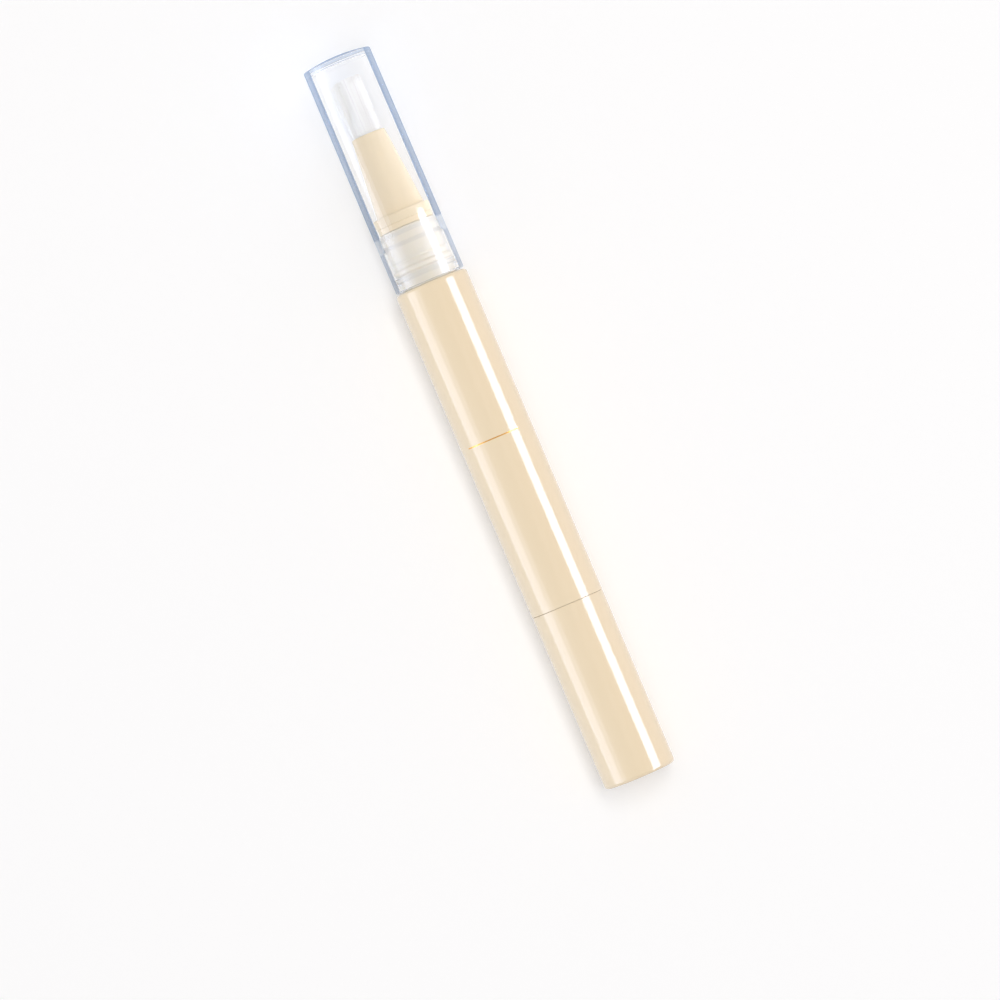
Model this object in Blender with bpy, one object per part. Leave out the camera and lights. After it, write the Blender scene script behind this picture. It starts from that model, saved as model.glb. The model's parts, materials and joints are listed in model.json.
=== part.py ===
"""A twist-up oil pen for nails and cuticles, lying on its side with its clear cap pushed on.

The pen is turned about one axis. Stations are heights along that axis from the knob's flat end, so every
piece is drawn upright, between its own stations, and one empty lays the whole pen down along +X.
Twisting the knob turns a drive sleeve and, through its two flats, a threaded rod. The rod winds through a
nut held in the barrel and pushes a piston, which presses the oil through a feed tube into the brush.
"""

import math
import random

import bmesh
import bpy
from mathutils import Vector
from mathutils.geometry import delaunay_2d_cdt

MM = 0.001

# Facets round the turned pieces. 30 puts the middle of a facet, not a corner, on the table
SIDES = 30
INNER_SIDES = 24
SMALL_SIDES = 16
FILLET_STEPS = 3
SMOOTH_BELOW = math.radians(35)
WELD = 0.0001 * MM

# Clearances
PRESS_FIT = 0.1 * MM
RUNNING_FIT = 0.15 * MM
SEAT_GAP = 0.2 * MM
SEAM = 0.3 * MM
OVERRUN = 1.0 * MM

# Twist knob
KNOB_LENGTH = 34.1 * MM
KNOB_STEP = 0.05 * MM
KNOB_WALL = 1.05 * MM
KNOB_END_WALL = 1.6 * MM
KNOB_CORNER = 0.7 * MM
KNOB_RIM_ROUND = 0.15 * MM
KNOB_RIBS = 6
KNOB_RIB_HEIGHT = 0.4 * MM
KNOB_RIB_WIDTH = 0.9 * MM
KNOB_GROOVE_DEPTH = 0.25 * MM
KNOB_GROOVE_WIDTH = 1.5 * MM

# Barrel
BARREL_LENGTH = 63.9 * MM
BARREL_RADIUS = 7.0 * MM
BARREL_WALL = 1.0 * MM
BARREL_SHOULDER = 0.9 * MM
BARREL_LIP = 1.0 * MM
BARREL_RIM_ROUND = 0.15 * MM
KEY_RIBS = 4
KEY_RIB_HEIGHT = 0.35 * MM
KEY_RIB_WIDTH = 0.8 * MM
KEY_RIB_INSET = 1.0 * MM

# Ratchet housing, half in the knob and half in the barrel
SPIGOT_LENGTH = 9.7 * MM
SPIGOT_BEAD_WIDTH = 1.0 * MM
SPIGOT_BEAD_INSET = 2.2 * MM
SPIGOT_BEAD_HEIGHT = 0.2 * MM
HOUSING_DEPTH = 9.4 * MM
HOUSING_WALL = 0.7 * MM
RATCHET_TEETH = 16
TOOTH_HEIGHT = 0.4 * MM
TOOTH_LENGTH = 4.0 * MM
SPRING_LEDGE = 0.2 * MM
RETAINER_SEAT = 0.25 * MM
RETAINER_THICKNESS = 1.2 * MM

# Drive sleeve
DRIVE_KEY_DEPTH = 0.35 * MM
DRIVE_ROUND = 0.15 * MM
DRIVE_TO_NUT = 2.0 * MM
DRUM_WALL = 1.0 * MM
DRUM_WEB = 2.0 * MM
COLLAR_LENGTH = 1.5 * MM
COLLAR_HEIGHT = 0.6 * MM

# Click spring
SPRING_HUB_WALL = 0.42 * MM
PAWL_ROOM = 0.48 * MM
PAWLS = 2
PAWL_SWEEP = math.radians(104)
PAWL_THICKNESS = 0.34 * MM
PAWL_POINTS = 9

# Screw rod and its nut. The rod's radius follows the drive sleeve's
ROD_CREST_SHARE = 2 / 3
ROD_FLAT_DEPTH = 0.85 * MM
ROD_ENGAGEMENT = 14.0 * MM
ROD_END_ROUND = 0.4 * MM
ROD_BALL_STEP = 0.1 * MM
ROD_NECK_STEP = 0.6 * MM
BALL_STEPS = 6
THREAD_DEPTH = 0.5 * MM
THREAD_PITCH = 3.0 * MM
THREAD_ROOT_WIDTH = 1.3 * MM
THREAD_CREST_WIDTH = 0.8 * MM
THREAD_RUN_OUT = 3.0 * MM
THREAD_STEPS = 18
NUT_ROOM = 10.2 * MM
NUT_LENGTH = 7.5 * MM
NUT_RIM = 0.9 * MM
NUT_HUB_WALL = 1.1 * MM
NUT_WEB = 2.0 * MM

# Reservoir tube, with the neck that the cap goes over
SHOULDER_STEP = 0.35 * MM
RESERVOIR_WALL = 0.8 * MM
RESERVOIR_BAND = 4.0 * MM
RESERVOIR_WAIST = 0.3 * MM
RESERVOIR_MOUTH_FLARE = 0.15 * MM
NECK_LENGTH = 11.2 * MM
NECK_WALL = 1.7 * MM
NECK_RIM_ROUND = 0.3 * MM
NECK_BEAD_STATION = 3.5 * MM
NECK_BEAD_WIDTH = 1.3 * MM
NECK_BEAD_HEIGHT = 0.23 * MM
NECK_RING_STATION = 5.2 * MM
NECK_RING_WIDTH = 0.6 * MM
NECK_RING_HEIGHT = 0.12 * MM

# Piston and oil
PISTON_INSET = 10.4 * MM
PISTON_FLOOR = 3.6 * MM
PISTON_LIP_WIDTH = 1.4 * MM
PISTON_LIP_HEIGHT = 0.35 * MM
PISTON_CROWN = 0.8 * MM
PISTON_SNAP = 0.2 * MM
PISTON_SNAP_LIP = 0.5 * MM
PISTON_CLEAR = 0.7 * MM
PISTON_FIT = 0.07 * MM

# Nose cone
FLANGE_LENGTH = 2.7 * MM
FLANGE_ROUND = 0.3 * MM
CONE_LENGTH = 15.3 * MM
CONE_STEP = 0.88 * MM
CONE_TIP_SHARE = 0.696
CONE_TIP_WALL = 0.35 * MM
CONE_TIP_ROUND = 0.15 * MM
CONE_FOOT_ROUND = 0.25 * MM
CONE_SPIGOT_LENGTH = 4.6 * MM
CONE_SPIGOT_ROUND = 0.4 * MM
SEAL_SECTION = 0.35 * MM
SEAL_INSET = 1.6 * MM
SEAL_SIDES = 8

# Brush
TUFT_DEPTH = 11.2 * MM
TUFT_EXPOSED = 11.0 * MM
TUFT_BASE = 1.0 * MM
TUFT_ROOT_SHARE = 0.835
TUFT_SLOPE = 0.9 * MM
TUFT_UNEVEN = 0.3 * MM
STRAND_PITCH = 0.18 * MM
STRAND_RADIUS = 0.055 * MM
STRAND_SIDES = 3
STRAND_TIP_SHARE = 0.75
STRAND_SEED = 5
GOLDEN_ANGLE = math.pi * (3 - math.sqrt(5))
SLEEVE_LENGTH = 4.5 * MM
SLEEVE_WALL = 0.28 * MM

# Feed tube and flow plug
FEED_RADIUS_SHARE = 0.25
FEED_WALL = 0.25 * MM
FEED_OVERLAP = 3.2 * MM
FEED_SETBACK = 1.3 * MM
PLUG_LEDGE = 0.6 * MM
PLUG_LENGTH = 7.0 * MM
PLUG_INSET = 1.5 * MM

# Cap
CAP_WALL = 0.7 * MM
CAP_SLACK = 0.22 * MM
CAP_TAPER = 0.15 * MM
CAP_END_WALL = 1.3 * MM
CAP_TIP_ROOM = 3.2 * MM
CAP_DOME = 0.7 * MM
CAP_INNER_DOME = 0.45 * MM
CAP_RIM_ROUND = 1.0 * MM
CAP_INNER_ROUND = 0.5 * MM
CAP_MOUTH_ROUND = 0.2 * MM
CAP_BEAD_WIDTH = 1.0 * MM
CAP_BEAD_FIT = 0.08 * MM
CAP_BEAD_BEHIND = 0.15 * MM
CAP_SKIRT_DEPTH = 7.7 * MM
CAP_STEP_LENGTH = 0.8 * MM
CAP_LAND_LENGTH = 1.2 * MM
CAP_LAND_FIT = 0.08 * MM
CAP_BORE_FIT = 0.15 * MM
CAP_DRAFT = 0.42 * MM
DOME_STEPS = 3

# Radii that follow from the sizes above
KNOB_RADIUS = BARREL_RADIUS - KNOB_STEP
KNOB_BORE = KNOB_RADIUS - KNOB_WALL
BARREL_BORE = BARREL_RADIUS - BARREL_WALL
HELD_RADIUS = BARREL_BORE - PRESS_FIT
KEY_SLOT_RADIUS = BARREL_BORE - KEY_RIB_HEIGHT - PRESS_FIT
SPIGOT_RADIUS = KNOB_BORE - RUNNING_FIT
TOOTH_ROOT = HELD_RADIUS - HOUSING_WALL
TOOTH_TIP = TOOTH_ROOT - TOOTH_HEIGHT
SPIGOT_BORE = TOOTH_TIP - SPRING_LEDGE
RETAINER_RADIUS = TOOTH_ROOT + RETAINER_SEAT - PRESS_FIT
DRUM_RADIUS = KNOB_BORE - PRESS_FIT
SPRING_HUB = SPIGOT_BORE - PAWL_ROOM
DRIVE_RADIUS = SPRING_HUB - SPRING_HUB_WALL - PRESS_FIT
DRIVE_KEY = DRIVE_RADIUS - DRIVE_KEY_DEPTH
ROD_CREST = DRIVE_RADIUS * ROD_CREST_SHARE
ROD_CORE = ROD_CREST - THREAD_DEPTH
ROD_HALF_FLAT = ROD_CREST - ROD_FLAT_DEPTH
ROD_BALL = ROD_CORE - ROD_BALL_STEP
ROD_NECK = ROD_BALL - ROD_NECK_STEP
DRIVE_BORE = ROD_CREST + RUNNING_FIT
DRIVE_HALF_FLAT = ROD_HALF_FLAT + RUNNING_FIT
RETAINER_BORE = DRIVE_RADIUS + RUNNING_FIT
NECK_RADIUS = HELD_RADIUS - SHOULDER_STEP
CHAMBER_RADIUS = NECK_RADIUS - RESERVOIR_WALL
NECK_BORE = NECK_RADIUS - NECK_WALL
CONE_SPIGOT_RADIUS = NECK_BORE - PRESS_FIT
CONE_BASE_RADIUS = NECK_RADIUS - CONE_STEP
CONE_TIP_RADIUS = CONE_BASE_RADIUS * CONE_TIP_SHARE
CONE_BORE = CONE_TIP_RADIUS - CONE_TIP_WALL
PLUG_BORE = CONE_BORE - PLUG_LEDGE
PLUG_RADIUS = PLUG_BORE - PRESS_FIT
SLEEVE_RADIUS = CONE_BORE - PRESS_FIT
TUFT_RADIUS = SLEEVE_RADIUS - SLEEVE_WALL - PRESS_FIT
TUFT_ROOT_RADIUS = TUFT_RADIUS * TUFT_ROOT_SHARE
TUFT_MOUTH_RADIUS = CONE_BORE - PRESS_FIT - STRAND_RADIUS
FEED_RADIUS = TUFT_RADIUS * FEED_RADIUS_SHARE
TUFT_HOLE = FEED_RADIUS + RUNNING_FIT
SKIRT_BORE = NECK_RADIUS + NECK_BEAD_HEIGHT + CAP_SLACK
CAP_RADIUS = SKIRT_BORE + CAP_WALL
CAP_BORE = NECK_RADIUS + CAP_BORE_FIT

# Stations that follow from the sizes above
SPIGOT_REAR = KNOB_LENGTH - SPIGOT_LENGTH
BARREL_REAR = KNOB_LENGTH + SEAM
BARREL_FRONT = BARREL_REAR + BARREL_LENGTH
HOUSING_FRONT = BARREL_REAR + HOUSING_DEPTH
RETAINER_REAR = HOUSING_FRONT - RETAINER_THICKNESS
TOOTH_FRONT = RETAINER_REAR - SEAT_GAP
TOOTH_REAR = TOOTH_FRONT - TOOTH_LENGTH
NUT_REAR = HOUSING_FRONT + NUT_ROOM
NUT_FRONT = NUT_REAR + NUT_LENGTH
DRIVE_FRONT = NUT_REAR - DRIVE_TO_NUT
DRUM_REAR = KNOB_END_WALL + SEAT_GAP
DRUM_FRONT = SPIGOT_REAR - RUNNING_FIT
COLLAR_REAR = HOUSING_FRONT + RUNNING_FIT
RESERVOIR_REAR = NUT_FRONT + SEAT_GAP
SHOULDER = BARREL_FRONT - BARREL_LIP - SEAT_GAP
NECK_FRONT = BARREL_FRONT + NECK_LENGTH
CHAMBER_FRONT = NECK_FRONT - CONE_SPIGOT_LENGTH - SEAT_GAP
PISTON_REAR = RESERVOIR_REAR + PISTON_INSET
BALL_MIDDLE = PISTON_REAR + PISTON_SNAP_LIP + ROD_BALL
ROD_FRONT = BALL_MIDDLE + ROD_BALL
SOCKET_END = ROD_FRONT + SEAT_GAP
PISTON_FRONT = SOCKET_END + PISTON_FLOOR
TRAVEL = CHAMBER_FRONT - PISTON_CLEAR - PISTON_FRONT
ROD_REAR = DRIVE_FRONT - ROD_ENGAGEMENT - TRAVEL
THREAD_REAR = NUT_REAR - TRAVEL - THREAD_RUN_OUT
THREAD_FRONT = NUT_FRONT + THREAD_RUN_OUT
THREAD_START = THREAD_REAR + THREAD_ROOT_WIDTH
FLANGE_REAR = NECK_FRONT + SEAT_GAP
FLANGE_FRONT = FLANGE_REAR + FLANGE_LENGTH
CONE_FRONT = FLANGE_FRONT + CONE_LENGTH
CONE_REAR = FLANGE_REAR - CONE_SPIGOT_LENGTH
TUFT_REAR = CONE_FRONT - TUFT_DEPTH
TUFT_FRONT = CONE_FRONT + TUFT_EXPOSED
TUFT_SEAT = TUFT_REAR - SEAT_GAP
CAP_MOUTH = BARREL_FRONT + SEAM
CAP_INNER_END = TUFT_FRONT + CAP_TIP_ROOM
PEN_LENGTH = CAP_INNER_END + CAP_END_WALL
REST_HEIGHT = BARREL_RADIUS * math.cos(math.pi / SIDES)


def linear(level):
    """One sRGB channel, 0 to 1, as the linear value that a shader takes."""
    return level / 12.92 if level <= 0.04045 else ((level + 0.055) / 1.055) ** 2.4


def plastic(name, colour, roughness, metallic=0.0, alpha=1.0, transmission=0.0):
    """A Principled material from an sRGB hex colour."""
    material = bpy.data.materials.new(name)
    material.use_nodes = True
    shader = material.node_tree.nodes["Principled BSDF"]
    channels = [linear(int(colour[i : i + 2], 16) / 255) for i in (1, 3, 5)]
    shader.inputs["Base Color"].default_value = (*channels, 1.0)
    shader.inputs["Roughness"].default_value = roughness
    shader.inputs["Metallic"].default_value = metallic
    shader.inputs["Alpha"].default_value = alpha
    shader.inputs["Transmission Weight"].default_value = transmission
    material.diffuse_color = (*channels, alpha)
    return material


def add_object(name, bm, parent, station, material):
    """The object made from a bmesh drawn in pen stations, with its origin on the axis at the given station."""
    bmesh.ops.translate(bm, vec=(0, 0, -station), verts=bm.verts)
    bmesh.ops.recalc_face_normals(bm, faces=bm.faces)
    mesh = bpy.data.meshes.new(name)
    bm.to_mesh(mesh)
    bm.free()
    mesh.shade_smooth()
    mesh.set_sharp_from_angle(angle=SMOOTH_BELOW)
    obj = bpy.data.objects.new(name, mesh)
    bpy.context.scene.collection.objects.link(obj)
    obj.parent = parent
    obj.location.z = station
    if material:
        mesh.materials.append(material)
    return obj


def add_empty(name, parent, location=(0, 0, 0), rotation=(0, 0, 0)):
    """An empty on the pen's axis, which carries the pieces that move together."""
    empty = bpy.data.objects.new(name, None)
    bpy.context.scene.collection.objects.link(empty)
    empty.parent = parent
    empty.location = location
    empty.rotation_euler = rotation
    return empty


def use_tool(obj, tool, operation):
    """Cuts, joins or trims an object with a helper, which stays hidden."""
    tool.hide_render = True
    tool.display_type = "WIRE"
    boolean = obj.modifiers.new(tool.name, "BOOLEAN")
    boolean.operation = operation
    boolean.object = tool
    boolean.solver = "EXACT"


def filleted(corners):
    """The outline's points, with each corner that has a third value rounded to that radius.

    A round is limited by the shorter of the two sides that it joins.
    """
    points = []
    for i, corner in enumerate(corners):
        here = Vector(corner[:2])
        if len(corner) == 2:
            points.append(here)
            continue
        back = Vector(corners[i - 1][:2]) - here
        ahead = Vector(corners[(i + 1) % len(corners)][:2]) - here
        half_angle = back.angle(ahead) / 2
        reach = min(corner[2] / math.tan(half_angle), back.length / 2, ahead.length / 2)
        radius = reach * math.tan(half_angle)
        inward = (back.normalized() + ahead.normalized()).normalized()
        centre = here + inward * radius / math.sin(half_angle)
        start = here + back.normalized() * reach - centre
        end = here + ahead.normalized() * reach - centre
        first = math.atan2(start.y, start.x)
        sweep = (math.atan2(end.y, end.x) - first + math.pi) % (2 * math.pi) - math.pi
        for step in range(FILLET_STEPS + 1):
            angle = first + sweep * step / FILLET_STEPS
            points.append(centre + radius * Vector((math.cos(angle), math.sin(angle))))
    return points


def turned(corners, sides=SIDES):
    """A bmesh turned about the pen's axis from an outline of (radius, station) corners.

    An outline that starts and ends on the axis makes a solid end, and any other closes into a tube.
    """
    bm = bmesh.new()
    verts = [bm.verts.new((radius, 0, station)) for radius, station in filleted(corners)]
    edges = [bm.edges.new(pair) for pair in zip(verts, verts[1:])]
    if verts[0].co.x > 0 or verts[-1].co.x > 0:
        edges.append(bm.edges.new((verts[-1], verts[0])))
    bmesh.ops.spin(
        bm,
        geom=verts + edges,
        cent=(0, 0, 0),
        axis=(0, 0, 1),
        angle=2 * math.pi,
        steps=sides,
        use_merge=True,
    )
    bmesh.ops.remove_doubles(bm, verts=bm.verts, dist=WELD)
    return bm


def bead(radius, height, middle, width):
    """Outline corners of a rounded rib on an outside wall, from its front to its rear."""
    half = width / 2
    return [
        (radius, middle + half),
        (radius + height, middle + half / 2),
        (radius + height, middle - half / 2),
        (radius, middle - half),
    ]


def prism(outline, rear, front):
    """A bmesh of a flat outline of (x, y) points drawn out between two stations."""
    bm = bmesh.new()
    face = bm.faces.new([bm.verts.new((x, y, rear)) for x, y in outline])
    drawn = bmesh.ops.extrude_face_region(bm, geom=[face])["geom"]
    moved = [item for item in drawn if isinstance(item, bmesh.types.BMVert)]
    bmesh.ops.translate(bm, vec=(0, 0, front - rear), verts=moved)
    return bm


def polar(radius, angle):
    """The (x, y) point at a radius and an angle from +X."""
    return radius * math.cos(angle), radius * math.sin(angle)


def double_d(radius, half_flat, sides):
    """A circle cut by two flats at x = half_flat and -half_flat, as an outline of (x, y) points."""
    edge = math.acos(half_flat / radius)
    steps = sides // 4
    arc = [edge + (math.pi - 2 * edge) * step / steps for step in range(steps + 1)]
    return [polar(radius, turn + angle) for turn in (0, math.pi) for angle in arc]


def radial_bars(count, inner, outer, width, rear, front):
    """A bmesh of bars that run along the axis, evenly spaced round it, between two radii."""
    bm = bmesh.new()
    for index in range(count):
        turn = 2 * math.pi * index / count
        across = Vector(polar(width / 2, turn + math.pi / 2))
        corners = []
        for radius in (inner, outer):
            middle = Vector(polar(radius, turn))
            side = across if radius == inner else -across
            corners += [middle - side, middle + side]
        part = prism(corners, rear, front)
        mesh = bpy.data.meshes.new("bar")
        part.to_mesh(mesh)
        part.free()
        bm.from_mesh(mesh)
        bpy.data.meshes.remove(mesh)
    return bm


def helical_ridge(core, crest, root_width, crest_width, start, turns):
    """A bmesh of a screw thread's ridge, which rises with the angle and is buried a little in its core."""
    bm = bmesh.new()
    buried = core - (crest - core) / 2
    lean = (root_width - crest_width) / 2 / (crest - core)
    foot = crest_width / 2 + lean * (crest - buried)
    section = [(buried, -foot), (crest, -crest_width / 2), (crest, crest_width / 2), (buried, foot)]
    steps = round(turns * THREAD_STEPS)
    rings = []
    for step in range(steps + 1):
        angle = 2 * math.pi * (step + 0.5) / THREAD_STEPS
        middle = start + THREAD_PITCH * step / THREAD_STEPS
        rings.append([bm.verts.new((*polar(r, angle), middle + z)) for r, z in section])
    for ring, after in zip(rings, rings[1:]):
        for i in range(len(section)):
            j = (i + 1) % len(section)
            bm.faces.new((ring[i], ring[j], after[j], after[i]))
    bm.faces.new(rings[0][::-1])
    bm.faces.new(rings[-1])
    return bm


def make_knob(body, cream):
    """The knob that the thumb turns: a cup with a flat end, splines for the drive drum and a snap groove."""
    groove_middle = SPIGOT_REAR + SPIGOT_BEAD_INSET
    groove_front = groove_middle + KNOB_GROOVE_WIDTH / 2
    groove_rear = groove_middle - KNOB_GROOVE_WIDTH / 2
    outline = [
        (0, KNOB_END_WALL),
        (KNOB_BORE, KNOB_END_WALL),
        (KNOB_BORE, groove_rear),
        (KNOB_BORE + KNOB_GROOVE_DEPTH, groove_rear + KNOB_GROOVE_DEPTH),
        (KNOB_BORE + KNOB_GROOVE_DEPTH, groove_front - KNOB_GROOVE_DEPTH),
        (KNOB_BORE, groove_front),
        (KNOB_BORE, KNOB_LENGTH),
        (KNOB_RADIUS, KNOB_LENGTH, KNOB_RIM_ROUND),
        (KNOB_RADIUS, 0, KNOB_CORNER),
        (0, 0),
    ]
    knob = add_object("twist_knob", turned(outline), body, 0, cream)
    ribs = radial_bars(
        KNOB_RIBS,
        KNOB_BORE - KNOB_RIB_HEIGHT,
        KNOB_BORE + KNOB_WALL / 2,
        KNOB_RIB_WIDTH,
        KNOB_END_WALL / 2,
        DRUM_FRONT - DRUM_WEB,
    )
    use_tool(knob, add_object("knob_splines", ribs, body, 0, None), "UNION")
    return knob


def make_barrel(body, cream):
    """The long cream tube, with a rounded front shoulder, an in-turned lip and key ribs in its bore."""
    outline = [
        (BARREL_BORE, BARREL_REAR),
        (BARREL_BORE, BARREL_FRONT - BARREL_LIP),
        (NECK_RADIUS + PRESS_FIT, BARREL_FRONT - BARREL_LIP),
        (NECK_RADIUS + PRESS_FIT, BARREL_FRONT),
        (BARREL_RADIUS, BARREL_FRONT, BARREL_SHOULDER),
        (BARREL_RADIUS, BARREL_REAR, BARREL_RIM_ROUND),
    ]
    barrel = add_object("barrel", turned(outline), body, BARREL_REAR, cream)
    ribs = radial_bars(
        KEY_RIBS,
        BARREL_BORE - KEY_RIB_HEIGHT,
        BARREL_BORE + BARREL_WALL / 2,
        KEY_RIB_WIDTH,
        BARREL_REAR + KEY_RIB_INSET,
        NUT_FRONT,
    )
    use_tool(barrel, add_object("barrel_keys", ribs, body, BARREL_REAR, None), "UNION")
    return barrel


def key_slots(body, rear, front):
    """The helper that cuts slots for the barrel's key ribs into a piece that the barrel holds."""
    slots = radial_bars(
        KEY_RIBS,
        KEY_SLOT_RADIUS,
        BARREL_BORE + OVERRUN,
        KEY_RIB_WIDTH + 2 * PRESS_FIT,
        rear,
        front,
    )
    return add_object("key_slots", slots, body, rear, None)


def saw_teeth():
    """The inside outline of the ratchet: each tooth slopes in with the knob's turn, then drops back out."""
    step = 2 * math.pi / RATCHET_TEETH
    outline = []
    for tooth in range(RATCHET_TEETH):
        outline.append(polar(TOOTH_ROOT, tooth * step))
        outline.append(polar((TOOTH_ROOT + TOOTH_TIP) / 2, (tooth + 0.5) * step))
        outline.append(polar(TOOTH_TIP, (tooth + 1) * step))
    return outline


def make_ratchet_housing(body, nylon):
    """The ring that joins knob and barrel: a bearing spigot with a snap bead, and a toothed chamber."""
    outline = [
        (SPIGOT_BORE, SPIGOT_REAR),
        (SPIGOT_BORE, RETAINER_REAR - SEAT_GAP),
        (RETAINER_RADIUS + PRESS_FIT, RETAINER_REAR - SEAT_GAP),
        (RETAINER_RADIUS + PRESS_FIT, HOUSING_FRONT),
        (HELD_RADIUS, HOUSING_FRONT),
        (HELD_RADIUS, BARREL_REAR + SEAT_GAP),
        (SPIGOT_RADIUS, BARREL_REAR + SEAT_GAP),
        *bead(SPIGOT_RADIUS, SPIGOT_BEAD_HEIGHT, SPIGOT_REAR + SPIGOT_BEAD_INSET, SPIGOT_BEAD_WIDTH),
        (SPIGOT_RADIUS, SPIGOT_REAR),
    ]
    housing = add_object("ratchet_housing", turned(outline, INNER_SIDES), body, SPIGOT_REAR, nylon)
    chamber = prism(saw_teeth(), TOOTH_REAR, TOOTH_FRONT + OVERRUN / 2)
    use_tool(housing, add_object("ratchet_chamber", chamber, body, TOOTH_REAR, None), "DIFFERENCE")
    use_tool(housing, key_slots(body, BARREL_REAR, HOUSING_FRONT + OVERRUN), "DIFFERENCE")
    return housing


def make_retaining_ring(body, nylon):
    """The washer snapped into the housing's mouth, which the drive sleeve's collar can't pass."""
    outline = [
        (RETAINER_BORE, RETAINER_REAR),
        (RETAINER_BORE, HOUSING_FRONT),
        (RETAINER_RADIUS, HOUSING_FRONT),
        (RETAINER_RADIUS, RETAINER_REAR),
    ]
    return add_object("retaining_ring", turned(outline, INNER_SIDES), body, RETAINER_REAR, nylon)


def make_click_spring(body, acetal):
    """The ring that clicks: a hub keyed on the drive sleeve, and thin arms whose ends rest in the teeth."""
    rear = TOOTH_REAR + SEAT_GAP
    front = TOOTH_FRONT - SEAT_GAP
    ring = [polar(SPRING_HUB, 2 * math.pi * i / INNER_SIDES) for i in range(INNER_SIDES)]
    spring = add_object("click_spring", prism(ring, rear, front), body, rear, acetal)
    bore = double_d(DRIVE_RADIUS + PRESS_FIT, DRIVE_KEY + PRESS_FIT, INNER_SIDES)
    hole = add_object("spring_bore", prism(bore, rear - OVERRUN, front + OVERRUN), body, rear, None)
    tip_radius = TOOTH_ROOT - PRESS_FIT
    root_radius = SPRING_HUB - PAWL_THICKNESS / 2
    for pawl in range(PAWLS):
        tip_angle = 2 * math.pi * pawl / PAWLS + PRESS_FIT / TOOTH_ROOT
        outer = []
        inner = []
        for point in range(PAWL_POINTS):
            share = point / (PAWL_POINTS - 1)
            angle = tip_angle + PAWL_SWEEP * share
            radius = tip_radius + (root_radius - tip_radius) * share
            radius -= TOOTH_HEIGHT * math.sin(math.pi * min(share, 1 - share))
            outer.append(polar(radius, angle))
            inner.append(polar(radius - PAWL_THICKNESS, angle))
        arm = add_object(f"pawl_{pawl + 1}", prism(outer + inner[::-1], rear, front), body, rear, None)
        use_tool(spring, arm, "UNION")
    use_tool(spring, hole, "DIFFERENCE")
    return spring


def make_drive_sleeve(body, acetal):
    """The sleeve fixed in the knob: a splined drum, and a tube whose two-flat bore turns the rod."""
    outline = [
        (DRUM_RADIUS - DRUM_WALL, DRUM_REAR),
        (DRUM_RADIUS - DRUM_WALL, DRUM_FRONT - DRUM_WEB),
        (0, DRUM_FRONT - DRUM_WEB),
        (0, DRIVE_FRONT),
        (DRIVE_RADIUS, DRIVE_FRONT, DRIVE_ROUND),
        (DRIVE_RADIUS, COLLAR_REAR + COLLAR_LENGTH),
        (DRIVE_RADIUS + COLLAR_HEIGHT, COLLAR_REAR + COLLAR_LENGTH / 2),
        (DRIVE_RADIUS + COLLAR_HEIGHT, COLLAR_REAR),
        (DRIVE_RADIUS, COLLAR_REAR),
        (DRIVE_RADIUS, DRUM_FRONT),
        (DRUM_RADIUS, DRUM_FRONT),
        (DRUM_RADIUS, DRUM_REAR),
    ]
    start = outline.index((0, DRIVE_FRONT))
    outline = outline[start:] + outline[:start]
    sleeve = add_object("drive_sleeve", turned(outline, INNER_SIDES), body, DRUM_REAR, acetal)
    bore = prism(
        double_d(DRIVE_BORE, DRIVE_HALF_FLAT, INNER_SIDES),
        DRUM_FRONT - DRUM_WEB - OVERRUN,
        DRIVE_FRONT + OVERRUN,
    )
    use_tool(sleeve, add_object("drive_bore", bore, body, DRUM_REAR, None), "DIFFERENCE")
    grooves = radial_bars(
        KNOB_RIBS,
        KNOB_BORE - KNOB_RIB_HEIGHT - PRESS_FIT,
        KNOB_RADIUS,
        KNOB_RIB_WIDTH + 2 * PRESS_FIT,
        DRUM_REAR - OVERRUN,
        DRUM_FRONT - DRUM_WEB + SEAT_GAP,
    )
    use_tool(sleeve, add_object("drum_grooves", grooves, body, DRUM_REAR, None), "DIFFERENCE")
    keys = radial_bars(
        2,
        DRIVE_KEY,
        DRIVE_RADIUS + OVERRUN,
        2 * DRIVE_RADIUS,
        TOOTH_REAR,
        TOOTH_FRONT,
    )
    use_tool(sleeve, add_object("spring_keys", keys, body, DRUM_REAR, None), "DIFFERENCE")
    return sleeve


def make_screw_rod(body, acetal):
    """The rod: a plain shank, a coarse thread with two flats along it, and a ball that snaps in the piston."""
    neck_rear = PISTON_REAR - SEAT_GAP
    neck_turn = math.pi - math.asin(ROD_NECK / ROD_BALL)
    ball = []
    for step in range(1, BALL_STEPS + 1):
        along, across = polar(ROD_BALL, neck_turn * step / BALL_STEPS)
        ball.append((across, BALL_MIDDLE + along))
    outline = [
        (0, ROD_FRONT),
        *ball,
        (ROD_NECK, neck_rear),
        (ROD_CORE, neck_rear - (ROD_CORE - ROD_NECK)),
        (ROD_CORE, THREAD_REAR),
        (ROD_CREST, THREAD_REAR),
        (ROD_CREST, ROD_REAR, ROD_END_ROUND),
        (0, ROD_REAR),
    ]
    rod = add_object("screw_rod", turned(outline, THREAD_STEPS), body, ROD_REAR, acetal)
    turns = (THREAD_FRONT - THREAD_START) / THREAD_PITCH
    ridge = helical_ridge(ROD_CORE, ROD_CREST, THREAD_ROOT_WIDTH, THREAD_CREST_WIDTH, THREAD_START, turns)
    use_tool(rod, add_object("rod_ridge", ridge, body, ROD_REAR, None), "UNION")
    flats = radial_bars(
        2,
        ROD_HALF_FLAT,
        ROD_CREST + OVERRUN,
        2 * (ROD_CREST + OVERRUN),
        ROD_REAR - OVERRUN,
        neck_rear,
    )
    use_tool(rod, add_object("rod_flats", flats, body, ROD_REAR, None), "DIFFERENCE")
    return rod


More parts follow.
